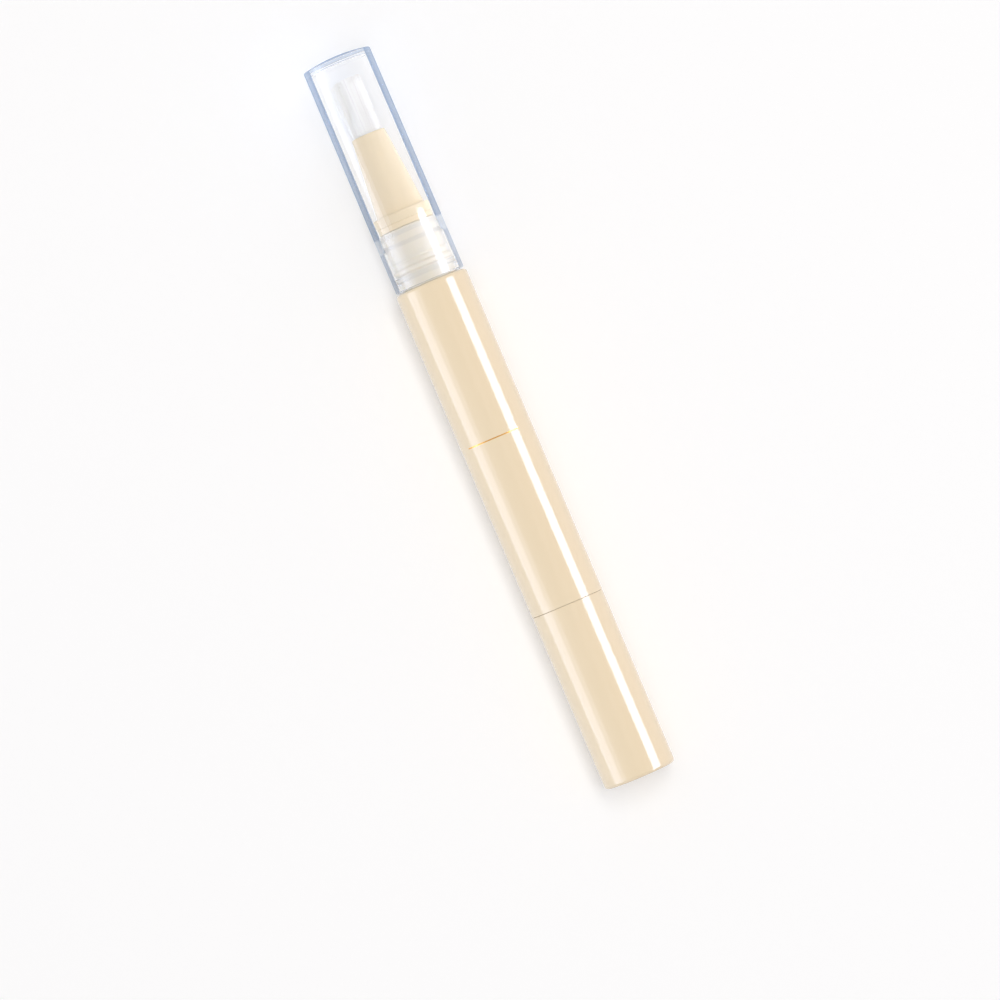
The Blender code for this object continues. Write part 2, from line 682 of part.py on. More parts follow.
def make_feed_nut(body, nylon):
    """The fixed nut: a keyed rim, a web and a threaded hub that the rod winds through."""
    hub = ROD_CREST + RUNNING_FIT + NUT_HUB_WALL
    rim = HELD_RADIUS - NUT_RIM
    bore = ROD_CORE + RUNNING_FIT
    web_rear = (NUT_REAR + NUT_FRONT - NUT_WEB) / 2
    web_front = web_rear + NUT_WEB
    outline = [
        (bore, NUT_REAR),
        (bore, NUT_FRONT),
        (hub, NUT_FRONT),
        (hub, web_front),
        (rim, web_front),
        (rim, NUT_FRONT),
        (HELD_RADIUS, NUT_FRONT),
        (HELD_RADIUS, NUT_REAR),
        (rim, NUT_REAR),
        (rim, web_rear),
        (hub, web_rear),
        (hub, NUT_REAR),
    ]
    nut = add_object("feed_nut", turned(outline, INNER_SIDES), body, NUT_REAR, nylon)
    turns_behind = math.floor((NUT_REAR - THREAD_PITCH - THREAD_START) / THREAD_PITCH)
    tap_rear = THREAD_START + turns_behind * THREAD_PITCH
    turns = math.ceil((NUT_FRONT - tap_rear) / THREAD_PITCH) + 1
    tap = helical_ridge(
        ROD_CORE + RUNNING_FIT,
        ROD_CREST + RUNNING_FIT,
        THREAD_ROOT_WIDTH + 2 * RUNNING_FIT,
        THREAD_CREST_WIDTH + 2 * RUNNING_FIT,
        tap_rear,
        turns,
    )
    use_tool(nut, key_slots(body, NUT_REAR - OVERRUN, NUT_FRONT + OVERRUN), "DIFFERENCE")
    use_tool(nut, add_object("nut_tap", tap, body, NUT_REAR, None), "DIFFERENCE")
    return nut


def make_reservoir(body, natural):
    """The oil tube, held in the barrel by two bands, with the neck that stands out for the cap."""
    waist = HELD_RADIUS - RESERVOIR_WAIST
    flare = RESERVOIR_MOUTH_FLARE
    outline = [
        (CHAMBER_RADIUS + flare, RESERVOIR_REAR),
        (CHAMBER_RADIUS, RESERVOIR_REAR + 2 * flare),
        (CHAMBER_RADIUS, CHAMBER_FRONT),
        (NECK_BORE, CHAMBER_FRONT),
        (NECK_BORE, NECK_FRONT),
        (NECK_RADIUS, NECK_FRONT, NECK_RIM_ROUND),
        *bead(NECK_RADIUS, NECK_RING_HEIGHT, BARREL_FRONT + NECK_RING_STATION, NECK_RING_WIDTH),
        *bead(NECK_RADIUS, NECK_BEAD_HEIGHT, BARREL_FRONT + NECK_BEAD_STATION, NECK_BEAD_WIDTH),
        (NECK_RADIUS, SHOULDER),
        (HELD_RADIUS, SHOULDER),
        (HELD_RADIUS, SHOULDER - RESERVOIR_BAND),
        (waist, SHOULDER - RESERVOIR_BAND - RESERVOIR_WAIST),
        (waist, RESERVOIR_REAR + RESERVOIR_BAND + RESERVOIR_WAIST),
        (HELD_RADIUS, RESERVOIR_REAR + RESERVOIR_BAND),
        (HELD_RADIUS, RESERVOIR_REAR),
    ]
    return add_object("reservoir_tube", turned(outline, INNER_SIDES), body, RESERVOIR_REAR, natural)


def make_oil(body, oil):
    """The oil that fills the chamber between the piston and the nose cone's spigot."""
    radius = CHAMBER_RADIUS - PRESS_FIT
    front = CHAMBER_FRONT - SEAT_GAP
    rear = PISTON_FRONT + SEAT_GAP
    outline = [(0, front), (radius, front), (radius, rear), (0, rear)]
    return add_object("oil_fill", turned(outline, INNER_SIDES), body, rear, oil)


def make_piston(body, soft_white):
    """The piston: a sealing lip at each end, a low crown, and a socket that holds the rod's ball."""
    lip = CHAMBER_RADIUS - PISTON_FIT
    waist = lip - PISTON_LIP_HEIGHT
    socket = ROD_BALL + RUNNING_FIT
    snap = ROD_BALL - PISTON_SNAP
    snap_front = BALL_MIDDLE - math.sqrt(ROD_BALL**2 - snap**2) - RUNNING_FIT
    outline = [
        (0, PISTON_FRONT),
        (lip - PISTON_CROWN, PISTON_FRONT),
        (lip, PISTON_FRONT - PISTON_CROWN),
        (lip, PISTON_FRONT - PISTON_CROWN - PISTON_LIP_WIDTH),
        (waist, PISTON_FRONT - PISTON_CROWN - PISTON_LIP_WIDTH - PISTON_LIP_HEIGHT),
        (waist, PISTON_REAR + PISTON_LIP_WIDTH + PISTON_LIP_HEIGHT),
        (lip, PISTON_REAR + PISTON_LIP_WIDTH),
        (lip, PISTON_REAR),
        (socket, PISTON_REAR),
        (snap, PISTON_REAR + PISTON_SNAP_LIP),
        (snap, snap_front),
        (socket, BALL_MIDDLE),
        (socket, SOCKET_END),
        (0, SOCKET_END),
    ]
    return add_object("piston", turned(outline, INNER_SIDES), body, PISTON_REAR, soft_white)


def make_nose_cone(body, cream):
    """The cream cone that carries the brush, with a flange on the neck and a grooved spigot inside it."""
    groove = NECK_BORE - 2 * SEAL_SECTION - PRESS_FIT
    groove_front = FLANGE_REAR - SEAL_INSET + SEAL_SECTION + PRESS_FIT
    groove_rear = FLANGE_REAR - SEAL_INSET - SEAL_SECTION - PRESS_FIT
    outline = [
        (PLUG_BORE, CONE_REAR),
        (PLUG_BORE, TUFT_SEAT),
        (CONE_BORE, TUFT_SEAT),
        (CONE_BORE, CONE_FRONT),
        (CONE_TIP_RADIUS, CONE_FRONT, CONE_TIP_ROUND),
        (CONE_BASE_RADIUS, FLANGE_FRONT, CONE_FOOT_ROUND),
        (NECK_RADIUS, FLANGE_FRONT, FLANGE_ROUND),
        (NECK_RADIUS, FLANGE_REAR, FLANGE_ROUND),
        (CONE_SPIGOT_RADIUS, FLANGE_REAR),
        (CONE_SPIGOT_RADIUS, groove_front),
        (groove, groove_front),
        (groove, groove_rear),
        (CONE_SPIGOT_RADIUS, groove_rear),
        (CONE_SPIGOT_RADIUS, CONE_REAR, CONE_SPIGOT_ROUND),
    ]
    return add_object("nose_cone", turned(outline, INNER_SIDES), body, CONE_REAR, cream)


def make_neck_seal(body, rubber):
    """The O-ring in the spigot's groove, which seals the nose cone in the neck."""
    ring_radius = NECK_BORE - PRESS_FIT / 2 - SEAL_SECTION
    middle = FLANGE_REAR - SEAL_INSET
    outline = []
    for side in range(SEAL_SIDES):
        across, along = polar(SEAL_SECTION, 2 * math.pi * (side + 0.5) / SEAL_SIDES)
        outline.append((ring_radius + across, middle + along))
    return add_object("neck_seal", turned(outline, INNER_SIDES), body, middle, rubber)


def make_flow_plug(body, foam):
    """The porous plug round the feed tube, which slows the oil on its way to the brush."""
    rear = CONE_REAR + PLUG_INSET
    outline = [
        (TUFT_HOLE, rear),
        (TUFT_HOLE, rear + PLUG_LENGTH),
        (PLUG_RADIUS, rear + PLUG_LENGTH),
        (PLUG_RADIUS, rear),
    ]
    return add_object("flow_plug", turned(outline, SMALL_SIDES), body, rear, foam)


def make_feed_tube(body, natural):
    """The fine tube that carries the oil through the plug into the middle of the brush."""
    rear = CONE_REAR + FEED_SETBACK
    front = CONE_FRONT + FEED_OVERLAP
    outline = [
        (FEED_RADIUS - FEED_WALL, rear),
        (FEED_RADIUS - FEED_WALL, front),
        (FEED_RADIUS, front),
        (FEED_RADIUS, rear),
    ]
    return add_object("feed_tube", turned(outline, SMALL_SIDES), body, rear, natural)


def make_tuft_sleeve(body, nylon):
    """The thin collar round the roots of the bristles, set in the cone's front bore."""
    outline = [
        (SLEEVE_RADIUS - SLEEVE_WALL, TUFT_REAR),
        (SLEEVE_RADIUS - SLEEVE_WALL, TUFT_REAR + SLEEVE_LENGTH),
        (SLEEVE_RADIUS, TUFT_REAR + SLEEVE_LENGTH),
        (SLEEVE_RADIUS, TUFT_REAR),
    ]
    return add_object("tuft_sleeve", turned(outline, INNER_SIDES), body, TUFT_REAR, nylon)


def strand_roots():
    """The (x, y) root of every strand, laid out as a sunflower's seeds round the feed tube's hole."""
    nearest = TUFT_HOLE + 2 * STRAND_RADIUS
    area = TUFT_ROOT_RADIUS**2 - nearest**2
    strands = int(math.pi * area / STRAND_PITCH**2)
    return [
        polar(math.sqrt(nearest**2 + area * (index + 0.5) / strands), index * GOLDEN_ANGLE)
        for index in range(strands)
    ]


def least_strand_gap(roots):
    """The smallest clear gap between two strands at their roots, where they stand closest."""
    nearest = min(math.dist(a, b) for i, a in enumerate(roots) for b in roots[:i])
    return nearest - 2 * STRAND_RADIUS


def make_bristle_tuft(body, filament):
    """The brush: straight strands that spread evenly from their fused base, so that none crosses another."""
    base_top = TUFT_REAR + TUFT_BASE
    spread = (TUFT_MOUTH_RADIUS / TUFT_ROOT_RADIUS - 1) / (CONE_FRONT - base_top)
    roots = strand_roots()
    print(f"{len(roots)} strands, least gap {least_strand_gap(roots) / MM:.3f} mm")
    chance = random.Random(STRAND_SEED)
    loops = [
        [polar(TUFT_RADIUS, 2 * math.pi * i / INNER_SIDES) for i in range(INNER_SIDES)],
        [polar(TUFT_HOLE, 2 * math.pi * i / SMALL_SIDES) for i in range(SMALL_SIDES)],
    ]
    corner = [polar(STRAND_RADIUS, 2 * math.pi * i / STRAND_SIDES) for i in range(STRAND_SIDES)]
    loops += [[(x + dx, y + dy) for dx, dy in corner] for x, y in roots]
    flat = [(x / MM, y / MM) for loop in loops for x, y in loop]
    owner = [number for number, loop in enumerate(loops) for _ in loop]
    edges = []
    for loop in loops:
        first = len(edges)
        edges += [(first + i, first + (i + 1) % len(loop)) for i in range(len(loop))]
    _, _, faces, *_ = delaunay_2d_cdt([Vector(p) for p in flat], edges, [], 0, WELD / MM)

    bm = bmesh.new()
    top = [bm.verts.new((x * MM, y * MM, base_top)) for x, y in flat]
    for face in faces:
        owners = {owner[v] for v in face}
        if len(owners) > 1 or owners == {0}:
            bm.faces.new([top[v] for v in face])
    rim = [top[: len(loops[0])], top[len(loops[0]) : len(loops[0]) + len(loops[1])]]
    under = [[bm.verts.new((v.co.x, v.co.y, TUFT_REAR)) for v in ring] for ring in rim]
    for upper, lower in zip(rim, under):
        for i in range(len(upper)):
            j = (i + 1) % len(upper)
            bm.faces.new((lower[i], lower[j], upper[j], upper[i]))
    lower_edges = [bm.edges.get((ring[i - 1], ring[i])) for ring in under for i in range(len(ring))]
    bmesh.ops.triangle_fill(bm, edges=lower_edges, use_beauty=True, use_dissolve=False)

    first = len(loops[0]) + len(loops[1])
    for x, y in roots:
        lean = max(0, x / TUFT_ROOT_RADIUS)
        tip = TUFT_FRONT - TUFT_SLOPE * lean**2 - TUFT_UNEVEN * chance.random()
        grown = 1 + spread * (tip - base_top)
        foot = top[first : first + STRAND_SIDES]
        ends = [
            bm.verts.new((x * grown + dx * STRAND_TIP_SHARE, y * grown + dy * STRAND_TIP_SHARE, tip))
            for dx, dy in corner
        ]
        for i in range(STRAND_SIDES):
            j = (i + 1) % STRAND_SIDES
            bm.faces.new((foot[i], foot[j], ends[j], ends[i]))
        bm.faces.new(ends)
        first += STRAND_SIDES
    return add_object("bristle_tuft", bm, body, TUFT_REAR, filament)


def dome(radius, station, height, rim_round):
    """Outline corners of a shallow dome, from the axis out to its rounded rim."""
    corners = [(0, station)]
    for step in range(1, DOME_STEPS):
        share = step / DOME_STEPS
        corners.append((radius * share, station - height * share**2))
    corners.append((radius, station - height, rim_round))
    return corners


def make_cap(body, clear):
    """The clear cap: a domed end, a tapered bore, a sealing land and a skirt with a snap bead."""
    step_rear = CAP_MOUTH + CAP_SKIRT_DEPTH
    step_front = step_rear + CAP_STEP_LENGTH
    land = NECK_RADIUS + CAP_LAND_FIT
    bead_front = BARREL_FRONT + NECK_BEAD_STATION - NECK_BEAD_WIDTH / 2 - CAP_BEAD_BEHIND
    bead_middle = bead_front - CAP_BEAD_WIDTH / 2
    bead_radius = NECK_RADIUS + NECK_BEAD_HEIGHT + CAP_BEAD_FIT
    snap = bead(SKIRT_BORE, bead_radius - SKIRT_BORE, bead_middle, CAP_BEAD_WIDTH)
    inner = [
        *dome(CAP_BORE - CAP_DRAFT, CAP_INNER_END, CAP_INNER_DOME, CAP_INNER_ROUND),
        (CAP_BORE, step_front + CAP_LAND_LENGTH + CAP_STEP_LENGTH),
        (land, step_front + CAP_LAND_LENGTH),
        (land, step_front),
        (SKIRT_BORE, step_rear),
        *snap,
        (SKIRT_BORE, CAP_MOUTH, CAP_MOUTH_ROUND),
    ]
    outer = [
        *dome(CAP_RADIUS - CAP_TAPER, PEN_LENGTH, CAP_DOME, CAP_RIM_ROUND),
        (CAP_RADIUS, CAP_MOUTH, CAP_MOUTH_ROUND),
    ]
    return add_object("cap", turned(outer + inner[::-1]), body, CAP_MOUTH, clear)


def main():
    """Clears the scene and builds the pen, one body after another."""
    for obj in list(bpy.data.objects):
        bpy.data.objects.remove(obj)

    cream = plastic("cream moulded ABS", "#E9D7BA", 0.32)
    clear = plastic("clear moulded styrene acrylic", "#E6EEF4", 0.06, alpha=0.35, transmission=0.9)
    natural = plastic("natural polypropylene", "#F0ECE2", 0.38)
    nylon = plastic("white moulded nylon", "#ECE8DE", 0.45)
    acetal = plastic("white moulded acetal", "#F4F2EC", 0.35)
    soft_white = plastic("low density polyethylene", "#EFEFEA", 0.5)
    rubber = plastic("silicone rubber", "#DCD8CF", 0.6)
    foam = plastic("open cell foam", "#F1E9D2", 0.9)
    filament = plastic("nylon filament", "#F6F2F4", 0.3)
    oil = plastic("golden oil", "#F0D48A", 0.05, alpha=0.6, transmission=0.8)

    pen = add_empty(
        "pen",
        None,
        location=(-PEN_LENGTH / 2, 0, REST_HEIGHT),
        rotation=(math.pi / 2, 0, math.pi / 2),
    )
    knob_turn = add_empty("knob_turn", pen)
    rod_feed = add_empty("rod_feed", knob_turn)
    piston_feed = add_empty("piston_feed", pen)
    cap_pull = add_empty("cap_pull", pen)

    make_barrel(pen, cream)
    make_ratchet_housing(pen, nylon)
    make_retaining_ring(pen, nylon)
    make_feed_nut(pen, nylon)
    make_reservoir(pen, natural)
    make_oil(pen, oil)
    make_nose_cone(pen, cream)
    make_neck_seal(pen, rubber)
    make_flow_plug(pen, foam)
    make_feed_tube(pen, natural)
    make_tuft_sleeve(pen, nylon)
    make_bristle_tuft(pen, filament)
    make_knob(knob_turn, cream)
    make_drive_sleeve(knob_turn, acetal)
    make_click_spring(knob_turn, acetal)
    make_screw_rod(rod_feed, acetal)
    make_piston(piston_feed, soft_white)
    make_cap(cap_pull, clear)


if __name__ == "__main__":
    main()
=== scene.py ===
"""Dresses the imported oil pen: fine shells, clear cap, brush and finishes, in a plain pale studio.

The pen lies along +X on the floor with its cap on. A station is a distance in millimetres from the
knob's flat end along the pen's axis, and a radius is a distance in millimetres from that axis. Sizes
are in millimetres where nothing else is said.
"""

import json
import logging
import math
import random
from collections.abc import Callable, Iterable, Sequence
from dataclasses import dataclass, field
from enum import Enum, IntEnum
from functools import partial
from typing import Any, NamedTuple

import bmesh
import bpy
from mathutils import Matrix, Vector, noise

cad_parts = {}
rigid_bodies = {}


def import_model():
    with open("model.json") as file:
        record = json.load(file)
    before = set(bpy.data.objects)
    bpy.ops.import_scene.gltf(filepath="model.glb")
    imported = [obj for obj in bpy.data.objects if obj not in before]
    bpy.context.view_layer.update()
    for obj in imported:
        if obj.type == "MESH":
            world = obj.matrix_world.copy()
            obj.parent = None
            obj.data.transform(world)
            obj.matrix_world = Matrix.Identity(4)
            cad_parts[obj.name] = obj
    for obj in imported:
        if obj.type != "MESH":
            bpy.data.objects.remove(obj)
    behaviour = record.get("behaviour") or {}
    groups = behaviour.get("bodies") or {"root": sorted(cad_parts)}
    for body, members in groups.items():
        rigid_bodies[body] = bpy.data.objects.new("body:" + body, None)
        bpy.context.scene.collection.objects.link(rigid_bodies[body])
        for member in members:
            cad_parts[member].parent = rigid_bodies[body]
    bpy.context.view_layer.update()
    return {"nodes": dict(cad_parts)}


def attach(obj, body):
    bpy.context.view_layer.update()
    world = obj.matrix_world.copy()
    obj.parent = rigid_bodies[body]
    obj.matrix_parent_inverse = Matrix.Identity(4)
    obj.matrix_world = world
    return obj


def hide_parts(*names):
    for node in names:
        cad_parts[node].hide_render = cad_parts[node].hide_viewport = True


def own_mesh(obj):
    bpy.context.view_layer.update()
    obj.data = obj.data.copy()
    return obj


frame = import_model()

LOG = logging.getLogger("oil_pen")

MM = 0.001
KNOB_END = -71.6  # World X of station zero
AXIS_HEIGHT = 6.961653  # Height of the pen's axis above the floor
SMOOTH_BELOW = math.radians(32)
WELD = 1e-7  # In metres
DOME_STEPS = 16
WHITE = (1.0, 1.0, 1.0, 1.0)


class Body(Enum):
    """The bodies of the frame, each of which moves as one."""

    PEN = "pen_body"
    KNOB = "knob_body"
    ROD = "rod_body"
    PISTON = "piston_body"
    CAP = "cap_body"


class Slot(Enum):
    """The record's material slots."""

    CREAM = "cream_abs"
    CLEAR = "clear_plastic"
    NATURAL = "natural_pp"
    NYLON = "white_nylon"
    ACETAL = "white_acetal"
    SOFT = "soft_ldpe"
    SILICONE = "silicone"
    POROUS = "porous_plug"
    FILAMENT = "nylon_filament"
    OIL = "golden_oil"


class Texture(Enum):
    """Kinds of texture node."""

    NOISE = "TexNoise"
    CELLS = "TexVoronoi"


class Mix(IntEnum):
    """Numbers of the inputs of a Mix node that blends colours."""

    FACTOR = 0
    A = 6
    B = 7


def linear_rgb(code: str) -> tuple[float, float, float, float]:
    """Turns an sRGB hex colour into the linear colour that a shader takes.

    Args:
        code: The colour as "#RRGGBB".

    Returns:
        Red, green, blue and an alpha of one.
    """
    levels = [int(code[i : i + 2], 16) / 255 for i in (1, 3, 5)]
    red, green, blue = (v / 12.92 if v <= 0.04045 else ((v + 0.055) / 1.055) ** 2.4 for v in levels)
    return red, green, blue, 1.0


def per_mm(size: float) -> float:
    """The texture scale at which one cell of a pattern is the given size in millimetres."""
    return 1 / (size * MM)


def add_node(
    tree: bpy.types.NodeTree, kind: str, inputs: dict[str | int, Any] | None = None, **settings: Any
) -> bpy.types.Node:
    """Adds one shader node with its settings and links.

    Args:
        tree: The node tree of the material or the world.
        kind: The node's type without its "ShaderNode" prefix.
        inputs: For each input, by name or number, its value, or the output socket that feeds it. A node
            feeds it from its first output in use.
        **settings: Attributes of the node.

    Returns:
        The new node.
    """
    node = tree.nodes.new(f"ShaderNode{kind}")
    for name, value in settings.items():
        setattr(node, name, value)
    for key, value in (inputs or {}).items():
        if isinstance(value, bpy.types.Node):
            value = next(socket for socket in value.outputs if socket.enabled)
        if isinstance(value, bpy.types.NodeSocket):
            tree.links.new(value, node.inputs[key])
        else:
            node.inputs[key].default_value = value
    return node


AddNode = Callable[..., bpy.types.Node]  # What add_node is once its tree is given


def seen_directly(add: AddNode) -> bpy.types.Node:
    """One where the eye sees a place straight, in a gloss or through the cap, zero for scattered light.

    Args:
        add: Adds a node to the material or the world.

    Returns:
        The node of that factor.
    """
    path = add("LightPath").outputs
    unscattered = add("Math", {0: path["Diffuse Depth"], 1: 0.5}, operation="LESS_THAN")
    seen = path["Is Camera Ray"]
    for kind in ("Is Glossy Ray", "Is Transmission Ray"):
        seen = add("Math", {0: seen, 1: path[kind]}, operation="MAXIMUM")
    return add("Math", {0: seen, 1: unscattered}, operation="MULTIPLY")


@dataclass(frozen=True)
class Finish:
    """A real material with the way its surface was made."""

    name: str

    def material(self) -> bpy.types.Material:
        """The finish as a material, made on first use."""
        made = bpy.data.materials.get(self.name)
        if made is None:
            made = bpy.data.materials.new(self.name)
            made.use_nodes = True
            made.node_tree.nodes.clear()
            add = partial(add_node, made.node_tree)
            add("OutputMaterial", {"Surface": self.surface(add)})
        return made

    def surface(self, add: AddNode) -> bpy.types.Node:
        """Builds the finish's shader.

        Args:
            add: Adds a node to the new material.

        Returns:
            The shader node to show on the surface.
        """
        raise NotImplementedError


@dataclass(frozen=True)
class MouldedPlastic(Finish):
    """An injection moulded plastic: faint flow clouds, a fine mould grain and a sheen that varies."""

    colour: str
    flow_colour: str
    roughness: float
    ior: float = 1.53
    flow: float = 16.0
    grain: float = 0.35
    grain_height: float = 0.0012
    roughness_spread: float = 0.03
    translucency: float = 0.0
    scatter: float = 1.2
    scatter_shares: tuple[float, float, float] = (1.0, 0.85, 0.6)

    def surface(self, add: AddNode) -> bpy.types.Node:
        """The plastic's shader."""
        spot = add("TexCoord").outputs["Object"]
        flow = add("TexNoise", {"Vector": spot, "Scale": per_mm(self.flow), "Detail": 2.0})
        grain = add("TexNoise", {"Vector": spot, "Scale": per_mm(self.grain), "Detail": 3.0})
        tones = {Mix.FACTOR: flow, Mix.A: linear_rgb(self.flow_colour), Mix.B: linear_rgb(self.colour)}
        low, high = self.roughness - self.roughness_spread, self.roughness + self.roughness_spread
        relief = {"Height": grain, "Strength": 1.0, "Distance": self.grain_height * MM}
        inputs = {
            "Base Color": add("Mix", tones, data_type="RGBA"),
            "Roughness": add("MapRange", {"Value": grain, "To Min": low, "To Max": high}),
            "Normal": add("Bump", relief),
            "IOR": self.ior,
            "Subsurface Weight": self.translucency,
            "Subsurface Radius": self.scatter_shares,
            "Subsurface Scale": self.scatter * MM,
        }
        return add("BsdfPrincipled", inputs)


@dataclass(frozen=True)
class ClearPlastic(Finish):
    """A clear moulded plastic: see-through face on, painted blue-grey shade where the eye looks along
    its wall.

    The painted shade comes in between two facings, of which zero is face on and one edge on, and a
    painted highlight line runs along it. Light that has passed or turned too often inside gets out, and
    isn't lost as black.
    """

    wall_shade_colour: str
    colour: str = "#FFFFFF"
    roughness: float = 0.02
    ior: float = 1.53
    wall_from: float = 0.4
    wall_to: float = 0.47
    wall_share: float = 0.92
    highlight_line_to: float = 0.88
    highlight_line_share: float = 0.3
    passes: int = 4
    turns: int = 1
    ripple: float = 7.0
    ripple_height: float = 0.004

    def surface(self, add: AddNode) -> bpy.types.Node:
        """The clear plastic's shader, which lets shadow rays through."""
        spot = add("TexCoord").outputs["Object"]
        ripple = add("TexNoise", {"Vector": spot, "Scale": per_mm(self.ripple), "Detail": 1.0})
        relief = {"Height": ripple, "Strength": 1.0, "Distance": self.ripple_height * MM}
        inputs = {
            "Base Color": linear_rgb(self.colour),
            "Roughness": self.roughness,
            "IOR": self.ior,
            "Transmission Weight": 1.0,
            "Normal": add("Bump", relief),
        }
        plastic = add("BsdfPrincipled", inputs)
        # Painted shade: towards edge on, the wall is tinted to its wall shade colour by facing alone
        facing = add("LayerWeight", {"Blend": 0.5}).outputs["Facing"]
        edge = {"Value": facing, "From Min": self.wall_from, "From Max": self.wall_to}
        edge_on = add("MapRange", edge, interpolation_type="SMOOTHSTEP")
        # Painted highlight: a lighter line along the painted wall shade, placed by facing
        turn = {"Value": facing, "From Min": self.wall_to, "From Max": self.highlight_line_to, "To Max": math.pi}
        wave = add("Math", {0: add("MapRange", turn)}, operation="SINE")
        line = add("Math", {0: wave, 1: self.highlight_line_share}, operation="MULTIPLY")
        lined = {Mix.FACTOR: line, Mix.A: linear_rgb(self.wall_shade_colour), Mix.B: WHITE}
        tint = {Mix.FACTOR: edge_on, Mix.A: WHITE, Mix.B: add("Mix", lined, data_type="RGBA")}
        wall = add("BsdfTransparent", {"Color": add("Mix", tint, data_type="RGBA")})
        path = add("LightPath").outputs
        passed, turned = (
            add("Math", {0: path[depth], 1: most + 0.5}, operation="GREATER_THAN")
            for depth, most in (("Ray Depth", self.passes), ("Glossy Depth", self.turns))
        )
        trapped = add("Math", {0: passed, 1: turned}, operation="MAXIMUM")
        inside = add("NewGeometry").outputs["Backfacing"]
        behind = add("Math", {0: inside, 1: trapped}, operation="MULTIPLY")
        along = add("Math", {0: edge_on, 1: self.wall_share}, operation="MULTIPLY")
        share = add("Math", {0: along, 1: behind}, operation="MAXIMUM")
        seen = add("MixShader", {0: share, 1: plastic, 2: wall})
        through = add("BsdfTransparent", {"Color": WHITE})
        return add("MixShader", {0: path["Is Shadow Ray"], 1: seen, 2: through})


@dataclass(frozen=True)
class DrawnFilament(Finish):
    """Drawn nylon filament: translucent white strands that clump, with faint streaks of painted shade
    along the tuft.
    """

    colour: str
    strand_tone_and_gap_shade: str
    roughness: float
    roughness_spread: float = 0.1
    ior: float = 1.53
    streak: float = 0.5
    stretch: float = 0.04
    tone_from: float = 0.35
    tone_to: float = 1.25
    light_through: float = 0.9

    def surface(self, add: AddNode) -> bpy.types.Node:
        """The filament's shader, which lets most of a lamp's light through to the strands behind."""
        spot = add("TexCoord").outputs["Object"]
        long = add("VectorMath", {0: spot, 1: (self.stretch, 1.0, 1.0)}, operation="MULTIPLY")
        # Painted shade: streaks along the tuft darken strands, standing in for the shade between clumps;
        # the random tone per strand is real
        streaks = add("TexNoise", {"Vector": long, "Scale": per_mm(self.streak), "Detail": 2.0})
        strand = add("NewGeometry").outputs["Random Per Island"]
        tone = add("Math", {0: strand, 1: streaks}, operation="ADD")
        level = add("MapRange", {"Value": tone, "From Min": self.tone_from, "From Max": self.tone_to})
        tones = {Mix.FACTOR: level, Mix.A: linear_rgb(self.strand_tone_and_gap_shade), Mix.B: linear_rgb(self.colour)}
        low, high = self.roughness - self.roughness_spread, self.roughness + self.roughness_spread
        inputs = {
            "Base Color": add("Mix", tones, data_type="RGBA"),
            "Roughness": add("MapRange", {"Value": streaks, "To Min": low, "To Max": high}),
            "IOR": self.ior,
        }
        strands = add("BsdfPrincipled", inputs)
        shadow = add("LightPath").outputs["Is Shadow Ray"]
        share = add("Math", {0: shadow, 1: self.light_through}, operation="MULTIPLY")
        through = add("BsdfTransparent", {"Color": WHITE})
        return add("MixShader", {0: share, 1: strands, 2: through})


@dataclass(frozen=True)
class Grained(Finish):
    """An opaque material in two tones, with a fine relief that follows them."""

    colour: str
    deep_colour: str
    roughness: float
    grain: float
    grain_height: float
    grain_strength: float = 1.0
    texture: Texture = Texture.NOISE
    detail: float = 2.0
    metallic: float = 0.0

    def surface(self, add: AddNode) -> bpy.types.Node:
        """The material's shader."""
        cell = {"Scale": per_mm(self.grain), "Detail": self.detail}
        grain = add(self.texture.value, {"Vector": add("TexCoord").outputs["Object"], **cell})
        tones = {Mix.FACTOR: grain, Mix.A: linear_rgb(self.deep_colour), Mix.B: linear_rgb(self.colour)}
        relief = {"Height": grain, "Strength": self.grain_strength, "Distance": self.grain_height * MM}
        inputs = {
            "Base Color": add("Mix", tones, data_type="RGBA"),
            "Metallic": self.metallic,
            "Roughness": self.roughness,
            "Normal": add("Bump", relief),
        }
        return add("BsdfPrincipled", inputs)


@dataclass(frozen=True)
class StudioPaper(Finish):
    """White photographic paper, which shows near white and keeps the shadows."""

    colour: str
    lift: float
    roughness: float = 0.9
    gloss: float = 0.2
    fibre: float = 1.2
    fibre_height: float = 0.01
    fibre_strength: float = 0.5

    def surface(self, add: AddNode) -> bpy.types.Node:
        """The paper's shader, lifted to white for the eye and for what is seen through the cap."""
        spot = add("TexCoord").outputs["Object"]
        fibres = add("TexNoise", {"Vector": spot, "Scale": per_mm(self.fibre), "Detail": 4.0})
        relief = {"Height": fibres, "Strength": self.fibre_strength, "Distance": self.fibre_height * MM}
        inputs = {
            "Base Color": linear_rgb(self.colour),
            "Roughness": self.roughness,
            "Specular IOR Level": self.gloss,
            "Normal": add("Bump", relief),
        }
        paper = add("BsdfPrincipled", inputs)
        level = add("Math", {0: seen_directly(add), 1: self.lift}, operation="MULTIPLY")
        glow = add("Emission", {"Color": WHITE, "Strength": level})
        return add("AddShader", {0: paper, 1: glow})


# Moulded ABS, polished tool: warm cream with a clean, fairly sharp gloss
CREAM_ABS = MouldedPlastic(
    "cream moulded ABS", colour="#EFDBBA", flow_colour="#ECD8B6", roughness=0.12, ior=1.54,
    grain_height=0.0006,
)
# Moulded polypropylene in the barrel's cream painted a little lighter, as painted light under the cap,
# off a finely honed tool: a softer gloss than the barrel's
CREAM_PP = MouldedPlastic(
    "cream moulded polypropylene", colour="#F3DEB9", flow_colour="#F0DBB5", roughness=0.17, ior=1.49,
    grain_height=0.0006,
)
